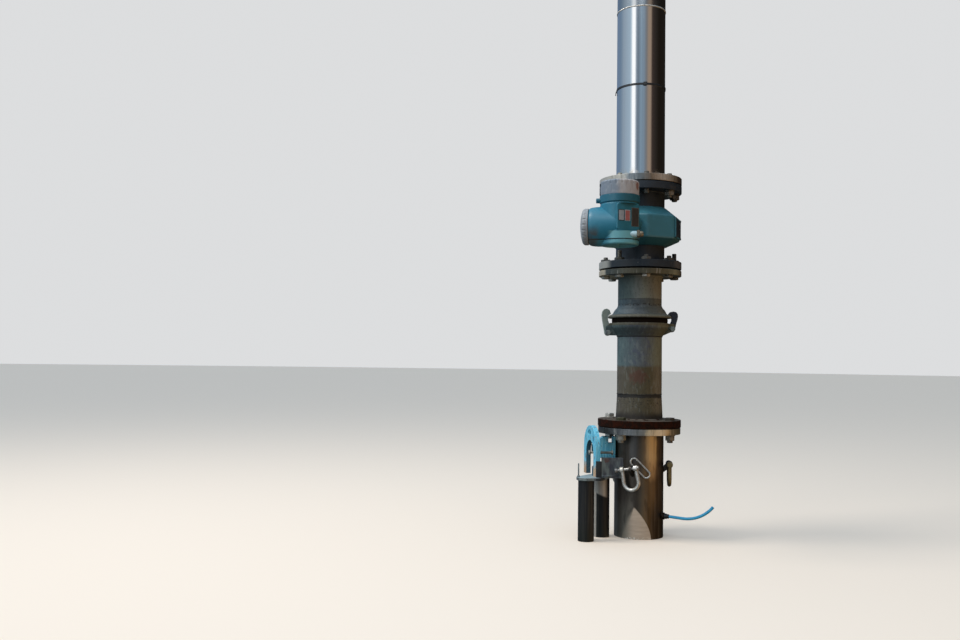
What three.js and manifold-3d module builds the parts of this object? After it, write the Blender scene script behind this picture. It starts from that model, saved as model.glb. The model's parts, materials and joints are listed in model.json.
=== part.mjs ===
// A pump delivery column: an upright stainless riser that stands in a basin, with a bolted flange pair,
// a quick coupling closed by two latches, an electromagnetic flow meter with its converter head, twin
// guide tubes with a claw, and three lifting lugs that carry shackles.
// Millimetres, +Z up. Heights count from the waterline; while it is built the column's axis is X = 0, Y = 0.
// An azimuth counts from -Y towards +X, so a piece drawn facing -Y is turned about Z by its azimuth.
import * as THREE from 'three';
import { mergeVertices } from 'three/addons/utils/BufferGeometryUtils.js';
import Module from 'manifold-3d';

const wasm = await Module();
wasm.setup();

// Fits and facets
const seat = 0.3;
const pinPlay = 0.5;
const roundSides = 36;
const smallSides = 14;

// Stainless pipe of the 6 inch size and its flanges of 285 mm
const pipeRadius = 84.15;
const pipeBore = 80.15;
const flangeRadius = 142.5;
const boltCircleRadius = 120;
const boltHoleRadius = 11;
const boltCount = 8;

// Heights along the column
const deckJoint = { pipeFlange: [353.5, 374.8], adaptor: [376.5, 402] };
const coupling = { coneTop: 489, cupFoot: 687, cupTop: 735, rimFoot: 752 };
const meter = { counter: [898, 916.5], lower: [921.5, 946.5], housing: [1001, 1134.5], upper: [1187.5, 1212.5] };
const upperFlange = [1215.5, 1238.5];
const weldHeight = 1834;
const delivery = { flange: [2100, 2122] };

// Coupling pipe and its cup
const couplingRadius = 77;
const couplingBore = 71;
const stubRadius = 81;
const spigotRadius = 75.6;
const cupRadius = 100;
const rimRadius = 110;

// Flow meter
const meterTubeRadius = 84;
const meterBore = 77;
const housingCorner = 140;
const housingFace = housingCorner * Math.cos(Math.PI / 8);
const neckAzimuth = -22.5;
const converterAzimuth = -23.2;
const converterReach = 282;
const converterHead = { foot: 990, groove: 1109, top: 1135 };
const converterRadius = 63;
const compartment = { height: 1037, radius: 64.5, length: 98, azimuth: -101.5 };
const labelPanel = { azimuth: 21, reach: 55, width: 82, heights: [1018, 1105] };
const glandBoss = { azimuth: 81, offset: 43, height: 1006.5, radius: 10, end: 55 };

// Lifting lugs and shackles
const lugAzimuths = { front: -28, side: 83, back: -150 };
const lugTilts = { front: -10, side: 0, back: 0 };
const lugHeights = { front: 238, side: 248, back: 238 };
const lugPinReach = 104;
const lugThickness = 8;
const shackle = { wire: 6.5, span: 24.5, bend: 26, drop: 45, eye: 10.5, pin: 5 };
const shackleHead = { radius: 8.5, from: 42, length: 7 };
const shackleNut = { radius: 7.5, from: 31.5, length: 3.5 };

// Latches of the quick coupling
const latch = { pivotReach: 112, left: 701, right: 716, pin: 6, eye: 11, thickness: 14, cheek: 6, cheekFoot: 692 };

// Guide tubes, the bracket that holds them and the claw
const guideTube = { radius: 27, bore: 24, top: 202 };
const frontTube = [-195, -110];
const backTube = [-132, -25];
const headPlate = [202.3, 212];
const claw = { centre: [-168, -42], turn: 10.5, width: 136, height: 168, shoulder: 96, thickness: 16, leg: 28 };

// Pressure tap with its plastic tube
const tap = { azimuth: 62, height: 74, bossEnd: 92, fittingEnd: 108 };
const airTubeRadius = 5;

const degrees = THREE.MathUtils.degToRad;

function finish(color, roughness, metalness) {
  return new THREE.MeshStandardMaterial({ color, roughness, metalness });
}

const stainless = finish(0x9a9893, 0.35, 0.9);
const wetStainless = finish(0x56524b, 0.5, 0.7);
const darkNavyPaint = finish(0x1a2128, 0.5, 0.1);
const columnPaint = finish(0x3c464a, 0.6, 0.1);
const rustyPaint = finish(0x2b1a16, 0.7, 0.1);
const tealPaint = finish(0x2f6a82, 0.45, 0.1);
const greyPaint = finish(0x7a7a7e, 0.55, 0.1);
const blackRubber = finish(0x15161a, 0.8, 0);
const clawPaint = finish(0x6fc0d8, 0.5, 0.1);
const bracketSteel = finish(0x45484a, 0.55, 0.5);
const shackleSteel = finish(0xb8b8b6, 0.3, 0.9);
const tubePlastic = finish(0x2aa6d8, 0.4, 0);

// Joining and cutting

function toSolid(geometry) {
  const bare = geometry.clone();
  bare.deleteAttribute('normal');
  bare.deleteAttribute('uv');
  const merged = mergeVertices(bare, 1e-3);
  const corners = merged.index.array;
  const kept = [];
  for (let i = 0; i < corners.length; i += 3) {
    const [a, b, c] = [corners[i], corners[i + 1], corners[i + 2]];
    if (a !== b && b !== c && c !== a) kept.push(a, b, c);
  }
  const vertProperties = new Float32Array(merged.attributes.position.array);
  return new wasm.Manifold(new wasm.Mesh({ numProp: 3, vertProperties, triVerts: new Uint32Array(kept) }));
}

function toGeometry(solid) {
  const { vertProperties, triVerts } = solid.getMesh();
  const geometry = new THREE.BufferGeometry();
  geometry.setAttribute('position', new THREE.BufferAttribute(vertProperties, 3));
  geometry.setIndex(new THREE.BufferAttribute(triVerts, 1));
  geometry.computeVertexNormals();
  return geometry;
}

function join(first, ...others) {
  return toGeometry(others.reduce((sum, other) => sum.add(toSolid(other)), toSolid(first)));
}

function cut(body, ...tools) {
  return toGeometry(tools.reduce((left, tool) => left.subtract(toSolid(tool)), toSolid(body)));
}

// Basic shapes

// A ring turned about Z from an outline of [radius, height] points that runs round its section anticlockwise.
function turnedRing(outline, sides = roundSides) {
  const points = outline.map(([radius, height]) => new THREE.Vector2(radius, height));
  points.push(points[0].clone());
  return new THREE.LatheGeometry(points, sides).rotateX(Math.PI / 2);
}

// A solid turned about Z whose outline climbs from the axis back to the axis.
function turnedSolid(outline, sides = roundSides) {
  const points = outline.map(([radius, height]) => new THREE.Vector2(radius, height));
  return new THREE.LatheGeometry(points, sides).rotateX(Math.PI / 2);
}

function ring(outer, inner, [foot, top], sides = roundSides) {
  return turnedRing([[inner, foot], [outer, foot], [outer, top], [inner, top]], sides);
}

function rod(radius, [foot, top], sides = smallSides) {
  return turnedSolid([[0, foot], [radius, foot], [radius, top], [0, top]], sides);
}

// A block between two [low, high] pairs on each axis.
function block([x0, x1], [y0, y1], [z0, z1]) {
  const box = new THREE.BoxGeometry(x1 - x0, y1 - y0, z1 - z0);
  return box.translate((x0 + x1) / 2, (y0 + y1) / 2, (z0 + z1) / 2);
}

// An outline of [outward, height] points as a plate that lies in the plane of the axis and faces -Y outwards.
function radialPlate(shape, thickness, shift = 0) {
  const plate = new THREE.ExtrudeGeometry(shape, { depth: thickness, bevelEnabled: false, curveSegments: 7 });
  const outward = new THREE.Vector3(0, -1, 0);
  const up = new THREE.Vector3(0, 0, 1);
  const sideways = new THREE.Vector3().crossVectors(outward, up);
  plate.applyMatrix4(new THREE.Matrix4().makeBasis(outward, up, sideways));
  return plate.translate(thickness / 2 + shift, 0, 0);
}

// A round bar along an open curve.
function roundBar(curve, radius, steps, sides) {
  const section = new THREE.Shape().absarc(0, 0, radius, 0, 2 * Math.PI, false);
  const settings = { extrudePath: curve, steps, curveSegments: sides / 2, bevelEnabled: false };
  return new THREE.ExtrudeGeometry(section, settings);
}

// A round bar along a closed flat curve: each cross-section stands in the plane of the curve's normal and side.
function closedBar(pointAt, sideAt, normal, radius, steps, sides) {
  const positions = [];
  const corners = [];
  for (let step = 0; step < steps; step++) {
    const turn = (2 * Math.PI * step) / steps;
    for (let side = 0; side < sides; side++) {
      const angle = (2 * Math.PI * side) / sides;
      const point = pointAt(turn).addScaledVector(sideAt(turn), radius * Math.cos(angle));
      point.addScaledVector(normal, radius * Math.sin(angle));
      positions.push(point.x, point.y, point.z);
      const [next, beside] = [(step + 1) % steps, (side + 1) % sides];
      const [a, b] = [step * sides + side, next * sides + side];
      const [c, d] = [next * sides + beside, step * sides + beside];
      corners.push(a, b, c, a, c, d);
    }
  }
  const geometry = new THREE.BufferGeometry();
  geometry.setAttribute('position', new THREE.Float32BufferAttribute(positions, 3));
  geometry.setIndex(corners);
  geometry.computeVertexNormals();
  return geometry;
}

// Assembly

const column = new THREE.Group();
const airTube = new THREE.Group();

function add(name, geometry, material, azimuth = 0, place = [0, 0, 0], group = column) {
  const mesh = new THREE.Mesh(geometry, material);
  mesh.name = name;
  mesh.position.set(...place);
  mesh.rotation.z = degrees(azimuth);
  group.add(mesh);
}

// Lower stainless pipe, its flange and the flange pair at the deck

function addLowerPipe() {
  const [foot, top] = deckJoint.pipeFlange;
  add('lower_pipe', ring(pipeRadius, pipeBore, [0, top]), wetStainless);
  add('lower_pipe_flange', ring(flangeRadius - 1.5, pipeRadius + seat, [foot, top]), stainless);
  add('deck_gasket', ring(109, pipeBore + 1, [top + seat, deckJoint.adaptor[0] - seat]), blackRubber);
  add('adaptor_flange', ring(flangeRadius, stubRadius + seat, deckJoint.adaptor), rustyPaint);
}

// Coupling: the lower pipe with the cup and the latch cheeks, the ring seal, and the upper pipe with the bell

function socketOutline() {
  const { coneTop, cupFoot, cupTop } = coupling;
  const outline = [[couplingBore, deckJoint.adaptor[0]], [stubRadius, deckJoint.adaptor[0]]];
  outline.push([stubRadius, deckJoint.adaptor[1]], [couplingRadius - 0.5, coneTop], [couplingRadius, coneTop + 1]);
  outline.push([couplingRadius, cupFoot], [couplingRadius + 2, cupFoot + 1], [couplingRadius + 2.5, cupFoot + 4]);
  outline.push([85.5, 700], [91, 708], [97, 717], [cupRadius, 728]);
  outline.push([cupRadius, cupTop], [couplingBore, cupTop]);
  return outline;
}

function latchCheek(azimuth, side, pivotHeight) {
  const { pivotReach, pin, cheek, thickness, cheekFoot } = latch;
  const shape = new THREE.Shape();
  shape.moveTo(couplingRadius + 1, cheekFoot);
  shape.lineTo(pivotReach, pivotHeight - 9);
  shape.absarc(pivotReach, pivotHeight, 9, -Math.PI / 2, 0, false);
  shape.lineTo(pivotReach + 7, Math.min(pivotHeight + 22, coupling.cupTop - 2));
  shape.lineTo(cupRadius + 4, coupling.cupTop);
  shape.lineTo(couplingRadius + 1, coupling.cupTop);
  shape.holes.push(new THREE.Path().absarc(pivotReach, pivotHeight, pin + pinPlay, 0, 2 * Math.PI, true));
  const plate = radialPlate(shape, cheek, side * (thickness / 2 + 1 + cheek / 2));
  return plate.rotateZ(degrees(azimuth));
}

function addCoupling() {
  const { cupTop, rimFoot } = coupling;
  const places = [[-90, latch.left], [90, latch.right]];
  const cheeks = places.flatMap(([azimuth, height]) => [-1, 1].map((side) => latchCheek(azimuth, side, height)));
  const bore = rod(couplingBore, [deckJoint.adaptor[0] - 5, cupTop + 5], roundSides);
  const socket = join(turnedRing(socketOutline()), ...cheeks);
  add('coupling_socket_pipe', cut(socket, bore), columnPaint);
  add('coupling_seal', ring(97, couplingBore + seat, [cupTop + seat, rimFoot - seat]), blackRubber);
  const bell = [[couplingBore, rimFoot], [rimRadius - 1, rimFoot], [rimRadius, rimFoot + 5], [107, rimFoot + 9]];
  bell.push([97, rimFoot + 13], [93, rimFoot + 16], [90, rimFoot + 22], [86, rimFoot + 28.5], [80, rimFoot + 35]);
  bell.push([77.2, rimFoot + 39.5], [spigotRadius, rimFoot + 45], [spigotRadius, meter.counter[1]]);
  bell.push([couplingBore, meter.counter[1]]);
  add('coupling_spigot_pipe', turnedRing(bell), columnPaint);
}

// A latch: a bar that turns on a pin below the rim and hooks over the rim with its toe. The points run from the
// pivot up the outer side, over the head and down the inner side.
function addLatch(name, azimuth, pivotHeight, points) {
  const { pivotReach, pin, eye, thickness, cheek } = latch;
  const shape = new THREE.Shape();
  shape.absarc(pivotReach, pivotHeight, eye, Math.PI, 2 * Math.PI, false);
  for (const [reach, height] of points) shape.lineTo(reach, height);
  shape.lineTo(pivotReach - eye, pivotHeight);
  shape.holes.push(new THREE.Path().absarc(pivotReach, pivotHeight, pin + pinPlay, 0, 2 * Math.PI, true));
  add(name, radialPlate(shape, thickness), columnPaint, azimuth);
  const half = thickness / 2 + 1 + cheek;
  const outline = [[0, -half - 6], [9, -half - 6], [9, -half - 1], [pin, -half - 1]];
  outline.push([pin, half + 1], [9, half + 1], [9, half + 6], [0, half + 6]);
  const bolt = turnedSolid(outline, smallSides).rotateY(Math.PI / 2).translate(0, -pivotReach, pivotHeight);
  add(name + '_pin', bolt, bracketSteel, azimuth);
}

// Flow meter: measuring tube, its two flanges, the eight-sided coil housing and the service covers

function addMeterBody() {
  const [lower, upper] = [meter.lower, meter.upper];
  add('meter_counter_flange', ring(flangeRadius, spigotRadius + seat, meter.counter), stainless);
  const lowerGap = [meter.counter[1] + seat, lower[0] - seat];
  add('meter_lower_gasket', ring(108, couplingBore + 4, lowerGap), blackRubber);
  add('meter_lower_flange', ring(flangeRadius, meterTubeRadius + seat, lower), darkNavyPaint);
  add('meter_tube', ring(meterTubeRadius, meterBore, [lower[0], upper[1]]), darkNavyPaint);
  const [foot, top] = meter.housing;
  const rimCorner = (meterTubeRadius + 1.5) / Math.cos(Math.PI / 8);
  const facets = [[0, foot], [rimCorner, foot], [housingCorner, foot + 22]];
  facets.push([housingCorner, top - 34], [rimCorner, top], [0, top]);
  const bore = rod(meterTubeRadius + seat, [foot - 5, top + 5], roundSides);
  add('coil_housing', cut(turnedSolid(facets, 8), bore), tealPaint);
  const cover = block([-45, 45], [-housingFace - 6, -housingFace - seat], [1026, 1097]);
  add('service_cover_right', cover, tealPaint, 67.5);
  add('service_cover_left', cover.clone(), tealPaint, -112.5);
  add('meter_upper_flange', ring(flangeRadius, meterTubeRadius + seat, upper), darkNavyPaint);
  const upperGap = [upper[1] + seat, upperFlange[0] - seat];
  add('meter_upper_gasket', ring(108, pipeBore + 1, upperGap), blackRubber);
}

// Converter head: an upright round housing with a side compartment, three covers, a flat label panel and a gland

const converterPlace = [
  converterReach * Math.sin(degrees(converterAzimuth)),
  -converterReach * Math.cos(degrees(converterAzimuth)),
  0,
];

// Turns a shape drawn upright about Z so that it points along an azimuth, at a height.
function sideways(geometry, azimuth, height) {
  return geometry.rotateX(Math.PI / 2).rotateZ(degrees(azimuth)).translate(0, 0, height);
}

function converterHousing() {
  const { foot, groove, top } = converterHead;
  const outline = [[0, foot], [converterRadius, foot], [converterRadius, groove - 3], [converterRadius - 2, groove - 1]];
  outline.push([converterRadius - 2, groove + 1], [converterRadius + 1.5, groove + 3]);
  outline.push([converterRadius + 1.5, top], [0, top]);
  const { height, radius, length, azimuth } = compartment;
  const shoulder = [[0, 0], [radius, 0], [radius, length - 26], [radius - 2, length - 10]];
  shoulder.push([radius - 6, length], [0, length]);
  const side = sideways(turnedSolid(shoulder, 32), azimuth, height);
  const { reach, width, heights } = labelPanel;
  const panel = block([-width / 2, width / 2], [-reach, 0], heights).rotateZ(degrees(labelPanel.azimuth));
  const beyondPanel = block([-width, width], [-2 * reach, -reach], heights).rotateZ(degrees(labelPanel.azimuth));
  const lug = sideways(rod(8, [50, 76], 16), -92, 1120);
  const boss = glandPiece([[0, 10], [glandBoss.radius, 10], [glandBoss.radius, glandBoss.end], [0, glandBoss.end]]);
  const baseRoom = rod(converterRadius - seat, [foot - 40, foot], 40);
  return cut(join(cut(turnedSolid(outline, 32), beyondPanel), side, panel, lug, boss), baseRoom);
}

// A turned piece on the gland's axis, which runs beside the head's own axis, on the side with the label panel.
function glandPiece(outline) {
  const { azimuth, offset, height } = glandBoss;
  const aside = degrees(azimuth - 90);
  const shape = sideways(turnedSolid(outline, smallSides), azimuth, height);
  return shape.translate(offset * Math.sin(aside), -offset * Math.cos(aside), 0);
}

function addConverter() {
  add('converter_housing', converterHousing(), tealPaint, 0, converterPlace);
  const { foot, top } = converterHead;
  const cap = [[0, top + seat], [62, top + seat], [62, top + 43.5], [58, top + 47.5], [0, top + 47.5]];
  add('converter_top_cover', turnedSolid(cap, 32), greyPaint, 0, converterPlace);
  const base = [[0, foot - 8], [52, foot - 8], [52, foot - 16], [59, foot - 16], [62, foot - 12]];
  base.push([62, foot - seat], [0, foot - seat]);
  add('converter_base_cover', turnedSolid(base, 32), tealPaint, 0, converterPlace);
  const { height, length, azimuth } = compartment;
  const end = [[0, length + seat], [59.5, length + seat], [59.5, length + 14], [54.5, length + 20]];
  end.push([37, length + 25], [18, length + 27.5], [0, length + 28]);
  add('converter_end_cover', sideways(turnedSolid(end, 32), azimuth, height), greyPaint, 0, converterPlace);
  const root = glandBoss.end + seat;
  const gland = [[0, root], [12, root], [12, root + 12], [10, root + 13], [9, root + 18], [6, root + 21]];
  gland.push([0, root + 21]);
  add('cable_gland', glandPiece(gland), greyPaint, 0, converterPlace);
  const neckEnd = rod(compartment.radius + seat, [1000, 1130], 40).translate(...converterPlace);
  const compartmentRoom = sideways(rod(compartment.radius + 2 * seat, [-10, length], 40), azimuth, height);
  compartmentRoom.translate(...converterPlace);
  const neck = sideways(rod(36, [housingFace + seat, converterReach - 40], 32), neckAzimuth, 1068);
  add('converter_neck', cut(neck, neckEnd, compartmentRoom), tealPaint);
}

// Upper stainless pipe with its flange and tie, and the delivery end with an open flange

function deliveryFlange() {
  const [foot, top] = delivery.flange;
  const holes = [];
  for (let i = 0; i < boltCount; i++) {
    const azimuth = degrees((360 / boltCount) * i);
    const hole = rod(boltHoleRadius, [foot - 5, top + 5], 16);
    holes.push(hole.translate(boltCircleRadius * Math.sin(azimuth), -boltCircleRadius * Math.cos(azimuth), 0));
  }
  return cut(ring(flangeRadius, pipeRadius + seat, delivery.flange), ...holes);
}

function cableTie() {
  const band = ring(pipeRadius + seat + 1.6, pipeRadius + seat, [1555, 1563]);
  const buckle = block([-7, 7], [-pipeRadius - 7, -pipeRadius - 0.8], [1553, 1565]);
  return join(band, buckle.rotateZ(degrees(-19)));
}

function addUpperPipe() {
  add('upper_pipe_flange', ring(flangeRadius, pipeRadius + seat, upperFlange), stainless);
  add('upper_pipe', ring(pipeRadius, pipeBore, [upperFlange[0], weldHeight - seat / 2]), stainless);
  add('delivery_pipe', ring(pipeRadius, pipeBore, [weldHeight + seat / 2, delivery.flange[1]]), stainless);
  add('delivery_flange', deliveryFlange(), stainless);
  add('cable_tie', cableTie(), blackRubber);
}

// Guide tubes, the plate on their heads, the holder plate and the claw

function pipeClearance(heights) {
  return rod(pipeRadius + seat, heights, roundSides);
}

// The plate on the tubes' heads, with an upright plate and a slotted post welded to it.
function tubeBracket() {
  const outline = new THREE.Shape();
  outline.absarc(frontTube[0], frontTube[1], 33, degrees(145), degrees(300), false);
  outline.lineTo(-150, -138);
  outline.lineTo(-140, -128);
  outline.lineTo(-108, -61);
  outline.lineTo(-55, -61);
  outline.lineTo(-70, 10);
  outline.absarc(backTube[0], backTube[1], 32, degrees(80), degrees(145), false);
  const settings = { depth: headPlate[1] - headPlate[0], bevelEnabled: false, curveSegments: 6 };
  const plate = new THREE.ExtrudeGeometry(outline, settings).translate(0, 0, headPlate[0]);
  const upright = block([-137, -40], [-57, -49], [headPlate[1] - 2, 272]);
  const post = block([-164, -146], [-132, -115], [headPlate[1] - 2, 266]);
  const slit = block([-170, -140], [-127, -121], [222, 246]);
  return cut(join(plate, upright, post), slit, pipeClearance([headPlate[0] - 5, 300]));
}

function clawArch() {
  const { width, height, shoulder, thickness, leg } = claw;
  const half = width / 2;
  const shape = new THREE.Shape();
  shape.moveTo(-half, 0);
  shape.lineTo(-half + leg + 14, 0);
  shape.lineTo(-half + leg + 14, 30);
  shape.lineTo(-half + leg, 36);
  shape.lineTo(-half + leg, shoulder - 20);
  shape.absellipse(0, shoulder - 20, half - leg, 42, Math.PI, 0, true);
  shape.lineTo(half - leg, 0);
  shape.lineTo(half, 0);
  shape.lineTo(half, shoulder);
  shape.absellipse(0, shoulder, half, height - shoulder, 0, Math.PI, false);
  const notch = new THREE.Path();
  notch.moveTo(-46, shoulder + 16);
  notch.lineTo(-36, shoulder + 16);
  notch.lineTo(-36, shoulder + 42);
  notch.lineTo(-46, shoulder + 34);
  const window = new THREE.Path();
  window.absellipse(6, shoulder + 47, 16, 11, 0, 2 * Math.PI, true);
  shape.holes.push(notch, window);
  const settings = { depth: thickness, bevelEnabled: false, curveSegments: 20 };
  const plate = new THREE.ExtrudeGeometry(shape, settings).translate(0, 0, -thickness / 2);
  const basis = new THREE.Matrix4();
  basis.makeBasis(new THREE.Vector3(0, 1, 0), new THREE.Vector3(0, 0, 1), new THREE.Vector3(1, 0, 0));
  return plate.applyMatrix4(basis).rotateZ(degrees(claw.turn)).translate(...claw.centre, headPlate[1] + seat);
}

function clawArm() {
  const body = block([-140, -86], [-34, -2], [268, 342]);
  const web = block([-170, -130], [-22, -6], [284, 330]);
  const slot = block([-111, -96], [-45, 10], [320, 350]);
  const bevel = block([-30, 30], [-50, 20], [0, 30]).rotateY(degrees(-38)).translate(-144, 0, 330);
  const faceOff = block([0, 200], [-200, 200], [-20, 400]);
  faceOff.translate(claw.thickness / 2 + seat, 0, 0).rotateZ(degrees(claw.turn)).translate(...claw.centre, 0);
  const joined = toSolid(join(body, web)).intersect(toSolid(faceOff));
  return cut(toGeometry(joined), slot, bevel, pipeClearance([250, 360]));
}

function addGuides() {
  const heights = [0, guideTube.top];
  const tubes = { guide_tube_front: frontTube, guide_tube_back: backTube };
  for (const [name, [x, y]] of Object.entries(tubes)) {
    add(name, ring(guideTube.radius, guideTube.bore, heights, 24), bracketSteel, 0, [x, y, 0]);
  }
  add('tube_bracket', tubeBracket(), bracketSteel);
  add('claw_arch', clawArch(), clawPaint);
  add('claw_arm', clawArm(), clawPaint);
}

// Lifting lugs with shackles, and the spare link tucked behind the front pin. The front pin sits tilted in its hole.

function lugPlate(shift, height, tilt) {
  const shape = new THREE.Shape();
  shape.moveTo(pipeRadius + seat, height - 28);
  shape.lineTo(lugPinReach + 3, height - 12);
  shape.absarc(lugPinReach, height, 12, -Math.PI / 2 + 0.3, Math.PI / 2 - 0.3, false);
  shape.lineTo(lugPinReach - 7, height + 11);
  shape.lineTo(lugPinReach - 12.5, height + 1);
  shape.lineTo(pipeRadius + seat, height - 6);
  const slope = Math.tan(-tilt);
  const radius = shackle.pin / Math.cos(tilt) + (lugThickness / 2) * slope + pinPlay;
  const hole = new THREE.Path().absarc(lugPinReach, height + shift * slope, radius, 0, 2 * Math.PI, true);
  shape.holes.push(hole);
  return radialPlate(shape, lugThickness, shift);
}

// The bow hangs from its pin, drawn about the pin's centre: two eyes, two legs and a half-round bottom.
function shackleBow() {
  const { wire, span, bend, drop, eye, pin } = shackle;
  const points = [new THREE.Vector3(-span, 0, -4), new THREE.Vector3(-span - 1, 0, -22)];
  for (let i = 0; i <= 8; i++) {
    const turn = (Math.PI * i) / 8;
    points.push(new THREE.Vector3(-bend * Math.cos(turn), 0, -drop - bend * Math.sin(turn)));
  }
  points.push(new THREE.Vector3(span + 1, 0, -22), new THREE.Vector3(span, 0, -4));
  const bar = roundBar(new THREE.CatmullRomCurve3(points, false, 'centripetal'), wire, 18, 8);
  const eyes = [-span, span].map((x) => {
    return rod(eye, [-wire, wire], smallSides).rotateY(Math.PI / 2).translate(x, 0, 0);
  });
  const hole = rod(pin + pinPlay, [-60, 60], smallSides).rotateY(Math.PI / 2);
  return cut(join(bar, ...eyes), hole);
}

function shacklePin() {
  const [head, nut] = [shackleHead, shackleNut];
  const outline = [[0, -head.from - head.length], [head.radius, -head.from - head.length]];
  outline.push([head.radius, -head.from], [shackle.pin, -head.from], [shackle.pin, nut.from]);
  outline.push([nut.radius, nut.from], [nut.radius, nut.from + nut.length], [0, nut.from + nut.length]);
  return turnedSolid(outline, smallSides).rotateY(Math.PI / 2);
}

function spareLink() {
  const wire = 3;
  const tilt = degrees(45.5);
  const azimuth = degrees(-6.5);
  const reach = pipeRadius + seat + wire;
  const height = lugHeights.front + 3;
  const centre = new THREE.Vector3(reach * Math.sin(azimuth), -reach * Math.cos(azimuth), height);
  const tangent = new THREE.Vector3(Math.cos(azimuth), Math.sin(azimuth), 0);
  const up = new THREE.Vector3(0, 0, 1);
  const along = tangent.clone().multiplyScalar(Math.cos(tilt)).addScaledVector(up, -Math.sin(tilt));
  const across = tangent.clone().multiplyScalar(Math.sin(tilt)).addScaledVector(up, Math.cos(tilt));
  const normal = new THREE.Vector3().crossVectors(along, across);
  const [straight, bend] = [29, 12];
  const sideAt = (turn) => {
    return along.clone().multiplyScalar(Math.cos(turn)).addScaledVector(across, Math.sin(turn));
  };
  const pointAt = (turn) => {
    const point = centre.clone().addScaledVector(sideAt(turn), bend);
    return point.addScaledVector(along, straight * Math.sign(Math.round(Math.cos(turn) * 1e6)));
  };
  return closedBar(pointAt, sideAt, normal, wire, 20, 8);
}

function addLugs() {
  for (const [where, azimuth] of Object.entries(lugAzimuths)) {
    const shift = where === 'front' ? 6 : 0;
    const tilt = degrees(lugTilts[where]);
    add(where + '_lug', lugPlate(shift, lugHeights[where], tilt), wetStainless, azimuth);
    const turn = degrees(azimuth);
    const place = [lugPinReach * Math.sin(turn), -lugPinReach * Math.cos(turn), lugHeights[where]];
    add(where + '_shackle_bow', shackleBow().rotateY(tilt), shackleSteel, azimuth, place);
    add(where + '_shackle_pin', shacklePin().rotateY(tilt), shackleSteel, azimuth, place);
  }
  add('spare_link', spareLink(), shackleSteel);
}

// Pressure tap: a welded boss, a push-in fitting and the cut end of its plastic tube

function addTap() {
  const { azimuth, height, bossEnd, fittingEnd } = tap;
  const boss = sideways(rod(12, [pipeRadius - 6, bossEnd]), azimuth, height);
  add('tap_boss', cut(boss, pipeClearance([height - 30, height + 30])), wetStainless);
  const body = [[0, bossEnd + seat], [9, bossEnd + seat], [9, bossEnd + 8], [7.5, bossEnd + 9]];
  body.push([7.5, fittingEnd], [0, fittingEnd]);
  add('push_in_fitting', sideways(turnedSolid(body, smallSides), azimuth, height), blackRubber);
  const outward = new THREE.Vector3(Math.sin(degrees(azimuth)), -Math.cos(degrees(azimuth)), 0);
  const points = [0, 12, 26].map((step) => {
    return outward.clone().multiplyScalar(fittingEnd + seat + step).setZ(height - step * 0.05);
  });
  points.push(new THREE.Vector3(143, -73, 71), new THREE.Vector3(163, -78, 72));
  points.push(new THREE.Vector3(182.5, -80, 76), new THREE.Vector3(200.5, -81, 83));
  points.push(new THREE.Vector3(215.5, -82, 92), new THREE.Vector3(228, -83, 102));
  points.push(new THREE.Vector3(238, -84, 113));
  const tube = roundBar(new THREE.CatmullRomCurve3(points), airTubeRadius, 14, 8);
  add('blue_air_tube', tube, tubePlastic, 0, [0, 0, 0], airTube);
}

addLowerPipe();
addCoupling();
const hookInside = [[107, 763.5], [111.5, 759], [111.5, 745]];
const leftHead = [[127, 722], [131, 745], [133, 763], [131, 775], [125, 783], [115, 785.5], [106, 780], [101, 767]];
addLatch('latch_left', -90, latch.left, [...leftHead, ...hookInside, [107, 732], [103, 721]]);
const rightHead = [[127, 735], [131, 748], [133, 760], [132, 769], [127, 775.5], [118, 778], [107, 776], [99.5, 767.5]];
addLatch('latch_right', 90, latch.right, [...rightHead, ...hookInside, [107.5, 736], [103.5, 728]]);
addMeterBody();
addConverter();
addUpperPipe();
addGuides();
addLugs();
addTap();

// The origin is set under the middle of the column's own box, without the plastic tube.
const middle = new THREE.Box3().setFromObject(column).getCenter(new THREE.Vector3());
const group = new THREE.Group();
for (const part of [column, airTube]) {
  part.position.set(-middle.x, -middle.y, 0);
  group.add(part);
}

export default group;
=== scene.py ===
"""A pump delivery column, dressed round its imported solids.

Shapes are worked out in millimetres about the column's own axis, with heights from its foot, and
piece() sets them into the frame in metres. An azimuth counts in degrees from -Y towards +X.
"""
import json
import math

import bmesh
import bpy
import numpy as np
from mathutils import Matrix, Vector


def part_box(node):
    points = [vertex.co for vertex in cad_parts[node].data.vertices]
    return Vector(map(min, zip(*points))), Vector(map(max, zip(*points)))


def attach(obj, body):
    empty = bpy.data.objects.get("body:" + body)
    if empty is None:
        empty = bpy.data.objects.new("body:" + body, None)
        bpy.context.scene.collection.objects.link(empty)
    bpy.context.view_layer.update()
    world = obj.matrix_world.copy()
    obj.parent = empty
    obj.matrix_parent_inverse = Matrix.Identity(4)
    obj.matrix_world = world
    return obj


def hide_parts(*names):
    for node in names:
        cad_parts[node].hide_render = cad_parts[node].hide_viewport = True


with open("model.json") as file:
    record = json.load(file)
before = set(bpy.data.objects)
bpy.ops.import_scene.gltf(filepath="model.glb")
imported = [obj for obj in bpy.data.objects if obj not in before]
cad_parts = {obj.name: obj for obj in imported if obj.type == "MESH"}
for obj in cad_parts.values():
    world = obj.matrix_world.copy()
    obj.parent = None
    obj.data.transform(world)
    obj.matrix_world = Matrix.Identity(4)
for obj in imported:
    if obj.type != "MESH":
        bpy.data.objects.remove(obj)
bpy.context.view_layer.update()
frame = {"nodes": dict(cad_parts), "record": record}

MM = 0.001
UPPER_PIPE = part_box("upper_pipe")
AXIS = np.array([(UPPER_PIPE[0].x + UPPER_PIPE[1].x) / 2, (UPPER_PIPE[0].y + UPPER_PIPE[1].y) / 2, 0.0])


def heights(node):
    """The foot and top of a node in millimetres."""
    low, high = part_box(node)
    return low.z / MM, high.z / MM


def reach_of(node):
    """Half the width of a round node in millimetres."""
    low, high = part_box(node)
    return (high.x - low.x) / 2 / MM


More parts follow.
